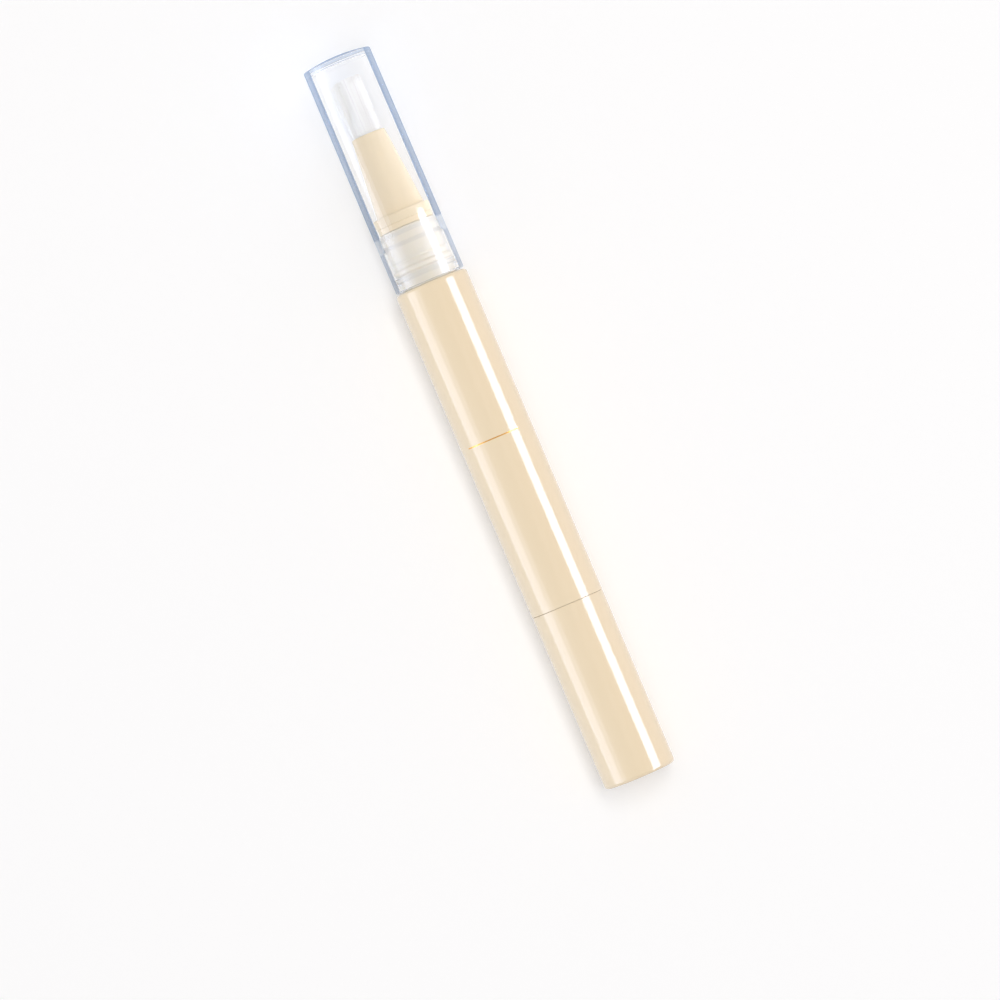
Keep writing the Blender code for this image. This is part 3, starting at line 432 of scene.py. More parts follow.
# Moulded polypropylene without pigment: milky, softly lit from within
NATURAL_PP = MouldedPlastic(
    "natural moulded polypropylene", colour="#E9DFCC", flow_colour="#E4D9C4", roughness=0.42, ior=1.49,
    translucency=0.35,
)
# Extruded polypropylene tube: the same milky white, drawn smooth
TUBE_PP = MouldedPlastic(
    "extruded polypropylene tube", colour="#F3F0E8", flow_colour="#ECE8DC", roughness=0.35, ior=1.49,
    flow=3.0, grain=0.2, translucency=0.3, scatter=0.5,
)
# Moulded nylon: off-white with a soft satin sheen
WHITE_NYLON = MouldedPlastic(
    "white moulded nylon", colour="#ECE8DE", flow_colour="#E4DFD2", roughness=0.45, flow=6.0, grain=0.3, grain_height=0.003, translucency=0.1,
)
# Moulded acetal: whiter than nylon, slippery and a little glossier
WHITE_ACETAL = MouldedPlastic(
    "white moulded acetal", colour="#F4F2EC", flow_colour="#ECEAE2", roughness=0.33, ior=1.48,
    flow=6.0, grain=0.3, grain_height=0.002,
)
# Moulded low density polyethylene: waxy, soft and matt
WAXY_LDPE = MouldedPlastic(
    "waxy moulded low density polyethylene", colour="#EFEFEA", flow_colour="#E6E6DF", roughness=0.5,
    ior=1.51, flow=4.0, grain=0.4, grain_height=0.004, translucency=0.3,
)
# Moulded silicone rubber: greyish translucent white, matt
SILICONE = MouldedPlastic(
    "moulded silicone rubber", colour="#DCD8CF", flow_colour="#D2CDC2", roughness=0.6, ior=1.41,
    flow=2.0, grain=0.2, grain_height=0.004, translucency=0.3,
)
# Moulded styrene acrylic: water clear face on, with cool grey painted shade along the wall
CLEAR_CAP = ClearPlastic(
    "clear moulded styrene acrylic", wall_shade_colour="#CAD6E6", wall_from=0.415, wall_to=0.45
)
# The same plastic on the cap's inner faces, where the mould core left it clear
CLEAR_BORE = ClearPlastic(
    "clear styrene acrylic bore", wall_shade_colour="#FFFFFF", wall_share=0.0, ripple_height=0.002
)
# The same plastic on the skirt, whose thinner wall shows as a narrower, lighter band of painted shade
CLEAR_SKIRT = ClearPlastic(
    "clear styrene acrylic skirt", wall_shade_colour="#DDE4EE", roughness=0.2, wall_from=0.49, wall_to=0.56
)
# The same plastic over the land, where the wall's painted shade is lighter, as painted light from its
# slopes
CLEAR_LAND = ClearPlastic("clear styrene acrylic land", wall_shade_colour="#EEF3F9", roughness=0.2)
# The same plastic on the land's slopes, faintly frosted, seen through near white at every facing with a
# painted highlight line, as painted light
CLEAR_STEP = ClearPlastic(
    "frosted styrene acrylic step", wall_shade_colour="#F6F8FC", roughness=0.25, wall_from=-1.0, wall_to=0.0,
    wall_share=0.75,
)
# Refined oil: clear gold, painted deeper gold as shade where the eye looks along its surface
GOLDEN_OIL = ClearPlastic(
    "golden refined oil", wall_shade_colour="#F0D48A", colour="#F5DC98", roughness=0.0, ior=1.47,
    ripple=20.0, ripple_height=0.0,
)
# Drawn nylon filament: cool white strands that shine along their length, streaked with painted shade
NYLON_FILAMENT = DrawnFilament(
    "drawn nylon filament", colour="#FFFEF8", strand_tone_and_gap_shade="#F4EFED", roughness=0.3
)
# Bonded open-cell foam: pale cream and matt, pitted
POROUS_PLUG = Grained(
    "bonded open cell foam", colour="#F4ECD6", deep_colour="#D9CCAE", roughness=0.9, grain=0.35,
    grain_height=0.1, texture=Texture.CELLS, detail=0.0,
)
# Hot-stamped foil: warm bright gold line with a fine leathery grain
GOLD_FOIL = Grained(
    "hot stamped gold foil", colour="#DFAA5C", deep_colour="#B98436", roughness=0.34, grain=0.12,
    grain_height=0.006, grain_strength=0.6, metallic=1.0,
)
# Photographic paper: white, matt
STUDIO_PAPER = StudioPaper("white studio paper", colour="#F0F0F1", lift=0.18)


class Corner(NamedTuple):
    """A corner of a turned outline; skin numbers the finish from here to the next corner."""

    radius: float
    station: float
    round: float = 0.0
    skin: int = 0


def at(station: float, radius: float, angle: float) -> Vector:
    """A place on the pen.

    Args:
        station: Distance from the knob's flat end, in millimetres.
        radius: Distance from the axis, in millimetres.
        angle: Angle round the axis from straight up, towards +Y.

    Returns:
        The place in metres.
    """
    across, up = radius * math.sin(angle), radius * math.cos(angle)
    return Vector((KNOB_END + station, across, AXIS_HEIGHT + up)) * MM


@dataclass
class Shape:
    """The points and faces of one piece, gathered before they become a mesh."""

    sides: int = 160
    arc_step: float = math.radians(9)
    guard: float = 0.12
    points: list[Vector] = field(default_factory=list)
    faces: list[tuple[int, ...]] = field(default_factory=list)
    skins: list[int] = field(default_factory=list)

    def rounded(self, corners: Sequence[Corner], closed: bool) -> list[Corner]:
        """Rounds an outline's corners, and sets a guard point near each end of a long wall.

        The guard points keep a long wall flat in shading beside a rounded corner.

        Args:
            corners: The outline's corners in order.
            closed: Whether the last corner joins the first.

        Returns:
            The outline's points in order.
        """
        outline: list[Corner] = []
        for i, corner in enumerate(corners):
            here = Vector(corner[:2])
            if not corner.round:
                outline.append(corner)
                continue
            before = corners[i - 1]
            back = Vector(before[:2]) - here
            ahead = Vector(corners[(i + 1) % len(corners)][:2]) - here
            half = back.angle(ahead) / 2
            reach = min(corner.round / math.tan(half), back.length / 2, ahead.length / 2)
            radius = reach * math.tan(half)
            inward = (back.normalized() + ahead.normalized()).normalized()
            centre = here + inward * radius / math.sin(half)
            start = here + back.normalized() * reach - centre
            end = here + ahead.normalized() * reach - centre
            first = math.atan2(start.y, start.x)
            sweep = (math.atan2(end.y, end.x) - first + math.pi) % (2 * math.pi) - math.pi
            steps = max(3, math.ceil(abs(sweep) / self.arc_step))
            for step in range(steps + 1):
                angle = first + sweep * step / steps
                spot = centre + radius * Vector((math.cos(angle), math.sin(angle)))
                outline.append(Corner(spot.x, spot.y, 0.0, corner.skin))
        guarded: list[Corner] = []
        for i, corner in enumerate(outline):
            guarded.append(corner)
            if i == len(outline) - 1 and not closed:
                break
            here, after = Vector(corner[:2]), Vector(outline[(i + 1) % len(outline)][:2])
            length = (after - here).length
            if length > 4 * self.guard:
                for share in (self.guard / length, 1 - self.guard / length):
                    spot = here.lerp(after, share)
                    guarded.append(Corner(spot.x, spot.y, 0.0, corner.skin))
        return guarded

    def turn(self, corners: Sequence[tuple[float, ...]]) -> "Shape":
        """Adds a solid turned about the pen's axis.

        Args:
            corners: The outline, as corners or as plain rows of the same numbers. One that starts and
                ends on the axis makes a solid, any other a tube.

        Returns:
            This shape.
        """
        corners = [Corner(*corner) for corner in corners]
        closed = corners[0].radius > 0 or corners[-1].radius > 0
        outline = self.rounded(corners, closed)
        first = len(self.points)
        for corner in outline:
            for side in range(self.sides):
                self.points.append(at(corner.station, corner.radius, math.tau * side / self.sides))
        last = len(outline) if closed else len(outline) - 1
        for ring in range(last):
            here = first + ring * self.sides
            after = first + (ring + 1) % len(outline) * self.sides
            for side in range(self.sides):
                beside = (side + 1) % self.sides
                self.faces.append((here + side, after + side, after + beside, here + beside))
                self.skins.append(outline[ring].skin)
        return self

    def bars(
        self, count: int, inner: float, outer: float, width: float, rear: float, front: float
    ) -> "Shape":
        """Adds straight bars along the axis, evenly spaced round it.

        Args:
            count: Number of bars.
            inner: Radius of the bars' inner faces.
            outer: Radius of their outer faces.
            width: Their width round the axis.
            rear: Station of their rear ends.
            front: Station of their front ends.

        Returns:
            This shape.
        """
        section = ((inner, -1), (inner, 1), (outer, 1), (outer, -1))
        for bar in range(count):
            middle = math.tau * bar / count
            turns = [(edge, middle + sign * math.asin(width / 2 / edge)) for edge, sign in section]
            self.loft([[at(station, *turn) for turn in turns] for station in (rear, front)])
        return self

    def loft(self, rings: Sequence[Sequence[Vector]]) -> "Shape":
        """Adds a solid that runs through rings of points and is flat at both ends.

        Args:
            rings: The rings in order, each with the same number of points, in metres.

        Returns:
            This shape.
        """
        first, sides = len(self.points), len(rings[0])
        self.points += [point for ring in rings for point in ring]
        last = len(self.points) - sides
        for here in range(first, last, sides):
            after = here + sides
            for side in range(sides):
                beside = (side + 1) % sides
                self.faces.append((here + side, here + beside, after + beside, after + side))
        self.faces += [tuple(range(first, first + sides)), tuple(range(last, last + sides))]
        self.skins += [0] * (len(self.faces) - len(self.skins))
        return self

    def piece(self, name: str, finishes: Iterable[Finish]) -> bpy.types.Object:
        """Makes the piece.

        Args:
            name: The piece's name.
            finishes: Its finishes, in the order of its skins.

        Returns:
            The new object, linked to the scene.
        """
        mesh = bpy.data.meshes.new(name)
        mesh.from_pydata(self.points, [], self.faces)
        mesh.polygons.foreach_set("material_index", self.skins)
        for finish in finishes:
            mesh.materials.append(finish.material())
        bm = bmesh.new()
        bm.from_mesh(mesh)
        bmesh.ops.remove_doubles(bm, verts=bm.verts, dist=WELD)
        bmesh.ops.recalc_face_normals(bm, faces=bm.faces)
        bm.to_mesh(mesh)
        bm.free()
        mesh.shade_smooth()
        mesh.set_sharp_from_angle(angle=SMOOTH_BELOW)
        made = bpy.data.objects.new(name, mesh)
        bpy.context.scene.collection.objects.link(made)
        return made


def bead(radius: float, height: float, middle: float, width: float, skin: int = 0) -> list[Corner]:
    """Draws a rounded rib on a wall, from its front to its rear.

    Args:
        radius: Radius of the wall.
        height: Height of the rib, negative where it faces inwards.
        middle: Station of its middle.
        width: Its width along the axis.
        skin: The finish of its faces, on an outline that then runs from its rear to its front.

    Returns:
        The rib's corners.
    """
    half, soft = width / 2, width / 4
    return [
        Corner(radius, middle + half, soft),
        Corner(radius + height, middle + half / 2, soft, skin),
        Corner(radius + height, middle - half / 2, soft, skin),
        Corner(radius, middle - half, soft, skin),
    ]


def dome(radius: float, station: float, height: float, rim: float) -> list[Corner]:
    """Draws a shallow dome, from the axis out to its rounded rim.

    Args:
        radius: Radius of the rim.
        station: Station of the crown.
        height: How far the rim lies behind the crown.
        rim: Radius of the rim's rounding.

    Returns:
        The dome's corners.
    """
    shares = [step / DOME_STEPS for step in range(DOME_STEPS)]
    crown = [Corner(radius * share, station - height * share**2) for share in shares]
    return [*crown, Corner(radius, station - height, rim)]


def sleeve(
    bore: float, radius: float, rear: float, front: float, inner_round: float, outer_round: float
) -> list[Corner]:
    """Draws a plain tube.

    Args:
        bore: Radius of its bore.
        radius: Radius of its outer face.
        rear: Station of its rear end.
        front: Station of its front end.
        inner_round: Radius of the roundings at the ends of its bore.
        outer_round: Radius of the roundings at the ends of its outer face.

    Returns:
        The tube's corners.
    """
    return [
        Corner(bore, rear, inner_round),
        Corner(bore, front, inner_round),
        Corner(radius, front, outer_round),
        Corner(radius, rear, outer_round),
    ]


def place(
    shape: Shape, name: str, body: Body, node: str, slot: Slot, *finishes: Finish
) -> bpy.types.Object:
    """Makes a piece that stands for a node of the frame.

    Args:
        shape: The piece's shape.
        name: The piece's name.
        body: The body that it moves with.
        node: The node that it replaces.
        slot: Not used.
        *finishes: Its finishes, in the order of its skins.

    Returns:
        The new object.
    """
    made = shape.piece(name, finishes)
    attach(made, body.value)
    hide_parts(node)
    LOG.info("%s: %d faces, on %s, for %s", name, len(made.data.polygons), body.value, node)
    return made


def dress(node: str, finish: Finish) -> None:
    """Gives a node that keeps its own shape its finish.

    Args:
        node: The node's name.
        finish: The finish for all its slots.
    """
    for slot in frame["nodes"][node].material_slots:
        slot.material = finish.material()
    LOG.info("%s: kept, in %s", node, finish.name)


@dataclass(frozen=True)
class Barrel:
    """The long cream tube that the hand holds, with the gold line stamped round its upper side."""

    rear: float = 34.3
    front: float = 98.3
    radius: float = 6.945
    bore: float = 6.0
    lip: float = 1.0
    lip_bore: float = 5.65
    shoulder: float = 0.9
    rim: float = 0.06
    key_height: float = 0.35
    key_width: float = 0.8
    key_root: float = 0.5
    key_inset: float = 1.0
    key_front: float = 61.5
    rule_station: float = 67.4
    rule_width: float = 0.22
    rule_from: float = math.radians(-38.6)
    rule_to: float = math.radians(53.6)
    rule_steps: int = 48
    rule_taper: float = 0.35
    foil: float = 0.012

    def build(self) -> None:
        """Builds the barrel and its stamped line."""
        outline = [
            (self.bore, self.rear, 0.1), (self.bore, self.front - self.lip),
            (self.lip_bore, self.front - self.lip), (self.lip_bore, self.front, self.rim),
            (self.radius, self.front, self.shoulder), (self.radius, self.rear, self.rim),
        ]
        shape = Shape(sides=192).turn(outline)
        inner, outer = self.bore - self.key_height, self.bore + self.key_root
        shape.bars(4, inner, outer, self.key_width, self.rear + self.key_inset, self.key_front)
        place(shape, "barrel_shell", Body.PEN, "barrel", Slot.CREAM, CREAM_ABS)
        self.rule()

    def rule(self) -> None:
        """Builds the thin gold line that is stamped part of the way round."""
        rings = []
        for step in range(self.rule_steps + 1):
            angle = self.rule_from + (self.rule_to - self.rule_from) * step / self.rule_steps
            taper = self.rule_taper if step in (0, self.rule_steps) else 1.0
            half = self.rule_width / 2 * taper
            section = ((0.0, -half), (self.foil, -half), (self.foil, half), (0.0, half))
            rings.append([at(self.rule_station + x, self.radius + up, angle) for up, x in section])
        shape = Shape().loft(rings)
        made = shape.piece("stamped_rule", [GOLD_FOIL])
        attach(made, Body.PEN.value)
        LOG.info("stamped_rule: on the barrel")


@dataclass(frozen=True)
class TwistKnob:
    """The rear knob that the thumb turns, with splines for the drive sleeve inside it."""

    length: float = 34.25
    radius: float = 6.9
    bore: float = 5.9
    end_wall: float = 1.6
    corner: float = 0.7
    rim: float = 0.06
    groove_middle: float = 26.6
    groove_width: float = 1.5
    groove_depth: float = 0.25
    spline_height: float = 0.4
    spline_width: float = 0.9
    spline_root: float = 0.5
    spline_front: float = 22.25
    gate: float = 0.9
    gate_depth: float = 0.15

    def build(self) -> None:
        """Builds the knob."""
        groove_rear = self.groove_middle - self.groove_width / 2
        groove_front = self.groove_middle + self.groove_width / 2
        groove = self.bore + self.groove_depth
        outline = [
            (0, self.end_wall), (self.bore, self.end_wall, 0.3), (self.bore, groove_rear),
            (groove, groove_rear + self.groove_depth, 0.1),
            (groove, groove_front - self.groove_depth, 0.1), (self.bore, groove_front),
            (self.bore, self.length, 0.1), (self.radius, self.length, self.rim),
            (self.radius, 0, self.corner), (self.gate, 0, 0.1),
            (self.gate, self.gate_depth, 0.08), (0, self.gate_depth),
        ]
        shape = Shape(sides=192).turn(outline)
        inner, outer = self.bore - self.spline_height, self.bore + self.spline_root
        shape.bars(6, inner, outer, self.spline_width, self.end_wall / 2, self.spline_front)
        place(shape, "twist_knob_shell", Body.KNOB, "twist_knob", Slot.CREAM, CREAM_ABS)


@dataclass(frozen=True)
class Reservoir:
    """The oil tube, with the milky neck that the cap snaps over, its oil and the piston behind it."""

    rear: float = 61.7
    shoulder: float = 97.1
    neck_front: float = 109.5
    held: float = 5.9
    waist: float = 5.6
    band: float = 4.0
    neck: float = 5.32
    neck_bore: float = 3.85
    neck_rim: float = 0.3
    seal_ring: tuple[float, float, float] = (0.13, 103.5, 0.6)  # Height, middle and width
    snap_ring: tuple[float, float, float] = (0.46, 101.8, 1.3)
    chamber: float = 4.75
    chamber_front: float = 104.7
    flare: float = 0.15
    piston_rear: float = 72.1
    piston_front: float = 80.0
    piston_fit: float = 0.07
    lip_width: float = 1.4
    lip_height: float = 0.35
    crown: float = 0.8
    ball: float = 1.8
    ball_middle: float = 74.4
    socket_end: float = 76.4
    socket_play: float = 0.15
    socket_grip: float = 0.2
    funnel: float = 0.5
    gap: float = 0.2
    oil_clearance: float = 0.1
    oil_left: float = 0.3

    def build(self) -> None:
        """Builds the tube, the oil and the piston."""
        self.tube()
        self.oil()
        self.piston()

    def tube(self) -> None:
        """Builds the reservoir tube and its neck."""
        slope = self.held - self.waist
        rear_band, front_band = self.rear + self.band, self.shoulder - self.band
        outline = [
            (self.chamber + self.flare, self.rear, 0.05),
            (self.chamber, self.rear + 2 * self.flare), (self.chamber, self.chamber_front, 0.2),
            (self.neck_bore, self.chamber_front, 0.15), (self.neck_bore, self.neck_front, 0.15),
            (self.neck, self.neck_front, self.neck_rim), *bead(self.neck, *self.seal_ring),
            *bead(self.neck, *self.snap_ring), (self.neck, self.shoulder, 0.1),
            (self.held, self.shoulder, 0.15), (self.held, front_band, 0.2),
            (self.waist, front_band - slope, 0.2), (self.waist, rear_band + slope, 0.2),
            (self.held, rear_band, 0.2), (self.held, self.rear, 0.15),
        ]
        shape = Shape(sides=144).turn(outline)
        place(shape, "reservoir_shell", Body.PEN, "reservoir_tube", Slot.NATURAL, NATURAL_PP)

    def oil(self) -> None:
        """Builds the oil, which thins towards the nose as the piston comes forward."""
        radius = self.chamber - self.oil_clearance
        rear, front = self.piston_front + self.gap, self.chamber_front - self.gap
        outline = [(0, rear), (radius, rear, 0.3), (radius, front, 0.2), (0, front)]
        shape = Shape(sides=96).turn(outline)
        made = place(shape, "oil_volume", Body.PEN, "oil_fill", Slot.OIL, GOLDEN_OIL)
        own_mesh(made)

    def piston(self) -> None:
        """Builds the piston, with a soft lip at each end and a socket for the rod's ball."""
        lip = self.chamber - self.piston_fit
        waist = lip - self.lip_height
        socket, snap = self.ball + self.socket_play, self.ball - self.socket_grip
        snap_front = self.ball_middle - math.sqrt(self.ball**2 - snap**2) - self.socket_play
        front, rear = self.piston_front, self.piston_rear
        front_lip = front - self.crown - self.lip_width
        rear_lip = rear + self.lip_width
        outline = [
            (0, front), (lip - self.crown, front, 0.3), (lip, front - self.crown, 0.2),
            (lip, front_lip, 0.15), (waist, front_lip - self.lip_height, 0.15),
            (waist, rear_lip + self.lip_height, 0.15), (lip, rear_lip, 0.15), (lip, rear, 0.15),
            (socket, rear, 0.1), (snap, rear + self.funnel, 0.1), (snap, snap_front, 0.1),
            (socket, self.ball_middle, 0.3), (socket, self.socket_end, 0.3),
            (0, self.socket_end),
        ]
        shape = Shape(sides=96).turn(outline)
        place(shape, "piston_shell", Body.PISTON, "piston", Slot.SOFT, WAXY_LDPE)


@dataclass(frozen=True)
class Nose:
    """The cream cone, with its seal, flow plug, feed tube and the collar round the bristles."""

    rear: float = 105.1
    flange_rear: float = 109.52
    flange_front: float = 112.4
    front: float = 127.7
    flange: float = 5.6
    tier: float = 110.6
    neck: float = 5.3
    base: float = 4.67
    tip: float = 3.25
    bore: float = 2.9
    plug_bore: float = 2.3
    spigot: float = 3.75
    seat: float = 116.3
    seal_middle: float = 108.1
    seal_ring: float = 3.45
    seal_section: float = 0.32
    seal_turns: int = 20
    groove: float = 3.05
    groove_half: float = 0.45
    feed: float = 0.605
    feed_bore: float = 0.355
    feed_rear: float = 106.4
    feed_front: float = 130.9
    plug_hole: float = 0.755
    plug: float = 2.2
    plug_rear: float = 106.6
    plug_front: float = 113.6
    collar: float = 2.8
    collar_bore: float = 2.52
    collar_rear: float = 116.5
    collar_front: float = 121.0

    def build(self) -> None:
        """Builds the cone and the small pieces inside it."""
        groove_front = self.seal_middle + self.groove_half
        groove_rear = self.seal_middle - self.groove_half
        outline = [
            (self.plug_bore, self.rear, 0.1), (self.plug_bore, self.seat),
            (self.bore, self.seat), (self.bore, self.front, 0.08), (self.tip, self.front, 0.16),
            (self.base, self.flange_front, 0.25), (self.flange, self.flange_front, 0.25),
            (self.flange, self.tier, 0.2), (self.neck, self.tier, 0.08),
            (self.neck, self.flange_rear, 0.15), (self.spigot, self.flange_rear, 0.1),
            (self.spigot, groove_front), (self.groove, groove_front),
            (self.groove, groove_rear), (self.spigot, groove_rear),
            (self.spigot, self.rear, 0.4),
        ]
        cone = Shape(sides=160).turn(outline)
        place(cone, "nose_cone_shell", Body.PEN, "nose_cone", Slot.CREAM, CREAM_PP)
        self.seal()
        self.inner_tubes()

    def seal(self) -> None:
        """Builds the O-ring in the spigot's groove."""
        ring = []
        for step in range(self.seal_turns):
            angle = math.tau * step / self.seal_turns
            across = self.seal_section * math.cos(angle)
            along = self.seal_section * math.sin(angle)
            ring.append(Corner(self.seal_ring + across, self.seal_middle + along))
        shape = Shape(sides=96, guard=1.0).turn(ring)
        place(shape, "seal_ring", Body.PEN, "neck_seal", Slot.SILICONE, SILICONE)

    def inner_tubes(self) -> None:
        """Builds the flow plug, the feed tube and the collar."""
        plug = sleeve(self.plug_hole, self.plug, self.plug_rear, self.plug_front, 0.05, 0.15)
        feed = sleeve(self.feed_bore, self.feed, self.feed_rear, self.feed_front, 0.03, 0.06)
        collar = sleeve(self.collar_bore, self.collar, self.collar_rear, self.collar_front, 0.05, 0.08)
        for outline, sides, name, node, slot, finish in (
            (plug, 72, "porous_flow_plug", "flow_plug", Slot.POROUS, POROUS_PLUG),
            (feed, 48, "feed_tube_fine", "feed_tube", Slot.NATURAL, TUBE_PP),
            (collar, 96, "bristle_collar", "tuft_sleeve", Slot.NYLON, WHITE_NYLON),
        ):
            place(Shape(sides=sides).turn(outline), name, Body.PEN, node, slot, finish)


@dataclass(frozen=True)
class Brush:
    """The tuft of fine filaments, packed in the cone and flaring loosely past it."""

    strands: int = 1300
    root_station: float = 116.5
    base_depth: float = 1.0
    mouth_station: float = 127.7
    tip_station: float = 138.7
    base_radius: float = 2.42
    root_radius: float = 2.26
    mouth_radius: float = 2.76
    tip_radius: float = 3.36
    core_share: float = 0.92
    core_setback: float = 0.9
    core_front: float = 0.7
    core_round: float = 0.8
    hole: float = 0.72
    hole_end: float = 131.3
    closing: float = 2.5
    slope: float = 0.9
    uneven: float = 0.55
    lean: float = 0.12
    bend: float = 0.5
    clumps: float = 3.2
    clump_reach: float = 0.28
    thickness: float = 0.052
    tip_thickness: float = 0.03
    rings: int = 10
    sides: int = 5
    seed: int = 11

    def build(self) -> None:
        """Builds the fused base and every filament."""
        base_top = self.root_station + self.base_depth
        base = sleeve(self.hole, self.base_radius, self.root_station, base_top, 0.0, 0.1)
        shape = Shape(sides=72).turn(base)
        shape.turn(self.core())
        chance = random.Random(self.seed)
        noise.seed_set(self.seed)  # Left alone, the noise starts from the clock
        golden = math.pi * (3 - math.sqrt(5))
        area = self.root_radius**2 - self.least**2
        for index in range(self.strands):
            share = (index + chance.uniform(0.2, 0.8)) / self.strands
            root = math.sqrt(self.least**2 + area * share)
            shape.loft(self.filament(root, index * golden, chance))
        place(shape, "brush_filaments", Body.PEN, "bristle_tuft", Slot.FILAMENT, NYLON_FILAMENT)
        LOG.info("brush_filaments: %d filaments", self.strands)

    @property
    def least(self) -> float:
        """Radius of the innermost roots, which stand round the feed tube."""
        return self.hole + 2 * self.thickness

    def core(self) -> list[Corner]:
        """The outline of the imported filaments, which look solid and end behind the loose tips."""
        start = self.root_station + self.base_depth / 2
        end = self.tip_station - self.core_setback
        root, mouth = self.root_radius * self.core_share, self.mouth_radius * self.core_share
        front = root + (self.tip_radius * self.core_share - root) * self.core_front
        return [
            Corner(0, self.hole_end),
            Corner(self.hole, self.hole_end),
            Corner(self.hole, start),
            Corner(root, start),
            Corner(mouth, self.mouth_station),
            Corner(front, end, self.core_round),
            Corner(0, end),
        ]

    def filament(self, root: float, angle: float, chance: random.Random) -> list[list[Vector]]:
        """Draws one filament from its root to its tip.

        Args:
            root: Radius of its root.
            angle: Angle of its root round the axis, from straight up towards +Y.
            chance: The source of its small irregularities.

        Returns:
            The rings of points along it, in metres.
        """
        share = root / self.root_radius
        beside = share * math.sin(angle)
        start = self.root_station + self.base_depth / 2
        tip = self.tip_station - self.slope * max(0.0, beside) ** 2 - self.uneven * chance.random() ** 2
        clump = noise.noise_vector(Vector((math.sin(angle), math.cos(angle), 0)) * share * self.clumps)
        flare = 1 + self.lean * beside
        inward = self.least * (self.root_radius - root) / (self.root_radius - self.least)
        turns = [math.tau * side / self.sides for side in range(self.sides)]
        spokes = [Vector((0, math.cos(turn), math.sin(turn))) for turn in turns]
        rings = []
        for ring in range(self.rings + 1):
            along = ring / self.rings
            station = start + (tip - start) * along
            if station < self.mouth_station:
                lift = (station - start) / (self.mouth_station - start)
                radius = root * (1 + (self.mouth_radius / self.root_radius - 1) * lift)
                loose = 0.0
            else:
                lift = (station - self.mouth_station) / (self.tip_station - self.mouth_station)
                spread = self.tip_radius * flare / self.mouth_radius - 1
                closed = min(1.0, max(0.0, (station - self.hole_end) / self.closing))
                radius = (root - inward * closed) * self.mouth_radius / self.root_radius
                radius *= 1 + spread * ((1 + self.bend) * lift - self.bend * lift**2)
                loose = lift
            spot = at(station, radius, angle)
            spot.y += self.clump_reach * MM * loose * clump.x
            spot.z += self.clump_reach * MM * loose * clump.y
            thinning = (self.tip_thickness - self.thickness) * max(0.0, 2 * along - 1)
            thickness = (self.thickness + thinning) * MM
            rings.append([spot + spoke * thickness for spoke in spokes])
        return rings


@dataclass(frozen=True)
class Cap:
    """The clear cap: a domed end, a tapered bore, a sealing land and a skirt with a snap bead."""

    mouth: float = 98.6
    front: float = 143.2
    radius: float = 6.69
    front_radius: float = 6.55
    dome_height: float = 0.7
    rim: float = 1.0
    inner_front: float = 141.9
    inner_dome: float = 0.45
    inner_rim: float = 0.5
    bore: float = 5.7
    front_bore: float = 5.52
    land: float = 5.63
    skirt_bore: float = 6.0
    step_rear: float = 106.3
    step_front: float = 107.1
    land_front: float = 108.3
    bore_rear: float = 109.1
    bead_middle: float = 100.5
    bead_height: float = 0.14
    bead_width: float = 1.0
    mouth_round: float = 0.2

    def build(self) -> None:
        """Builds the cap, with skins for its outside, bore, skirt, the land's slopes and the land."""
        inner = [
            *dome(self.front_bore, self.inner_front, self.inner_dome, self.inner_rim),
            Corner(self.bore, self.bore_rear, 0.15),
            Corner(self.land, self.land_front, 0.1, 3),
            Corner(self.land, self.step_front, 0.15),
            Corner(self.skirt_bore, self.step_rear, 0.2, 3),
            *bead(self.skirt_bore, -self.bead_height, self.bead_middle, self.bead_width, 3),
            Corner(self.skirt_bore, self.mouth, self.mouth_round),
        ]
        outer = [
            *dome(self.front_radius, self.front, self.dome_height, self.rim),
            Corner(self.radius, self.bore_rear, 0.0, 4),
            Corner(self.radius, self.step_rear, 0.0, 2),
            Corner(self.radius, self.mouth, self.mouth_round, 4),
        ]
        inside = [corner._replace(skin=max(corner.skin, 1)) for corner in inner[::-1]]
        shape = Shape(sides=192, arc_step=math.radians(6)).turn([*outer, *inside])
        finishes = (CLEAR_CAP, CLEAR_BORE, CLEAR_SKIRT, CLEAR_STEP, CLEAR_LAND)
        place(shape, "clear_cap", Body.CAP, "cap", Slot.CLEAR, *finishes)


@dataclass(frozen=True)
class DriveTrain:
    """The ratchet, drive sleeve, threaded rod and nut, which keep the frame's own shapes."""

    ring_rear: float = 42.6
    ring_front: float = 43.8
    ring_bore: float = 3.75
    ring_radius: float = 5.35

    def build(self) -> None:
        """Dresses the drive's nodes and builds the retaining ring."""
        for node in ("ratchet_housing", "feed_nut"):
            dress(node, WHITE_NYLON)
        for node in ("drive_sleeve", "click_spring", "screw_rod"):
            dress(node, WHITE_ACETAL)
        outline = sleeve(self.ring_bore, self.ring_radius, self.ring_rear, self.ring_front, 0.1, 0.15)
        ring = Shape(sides=96).turn(outline)
        place(ring, "retaining_washer", Body.PEN, "retaining_ring", Slot.NYLON, WHITE_NYLON)


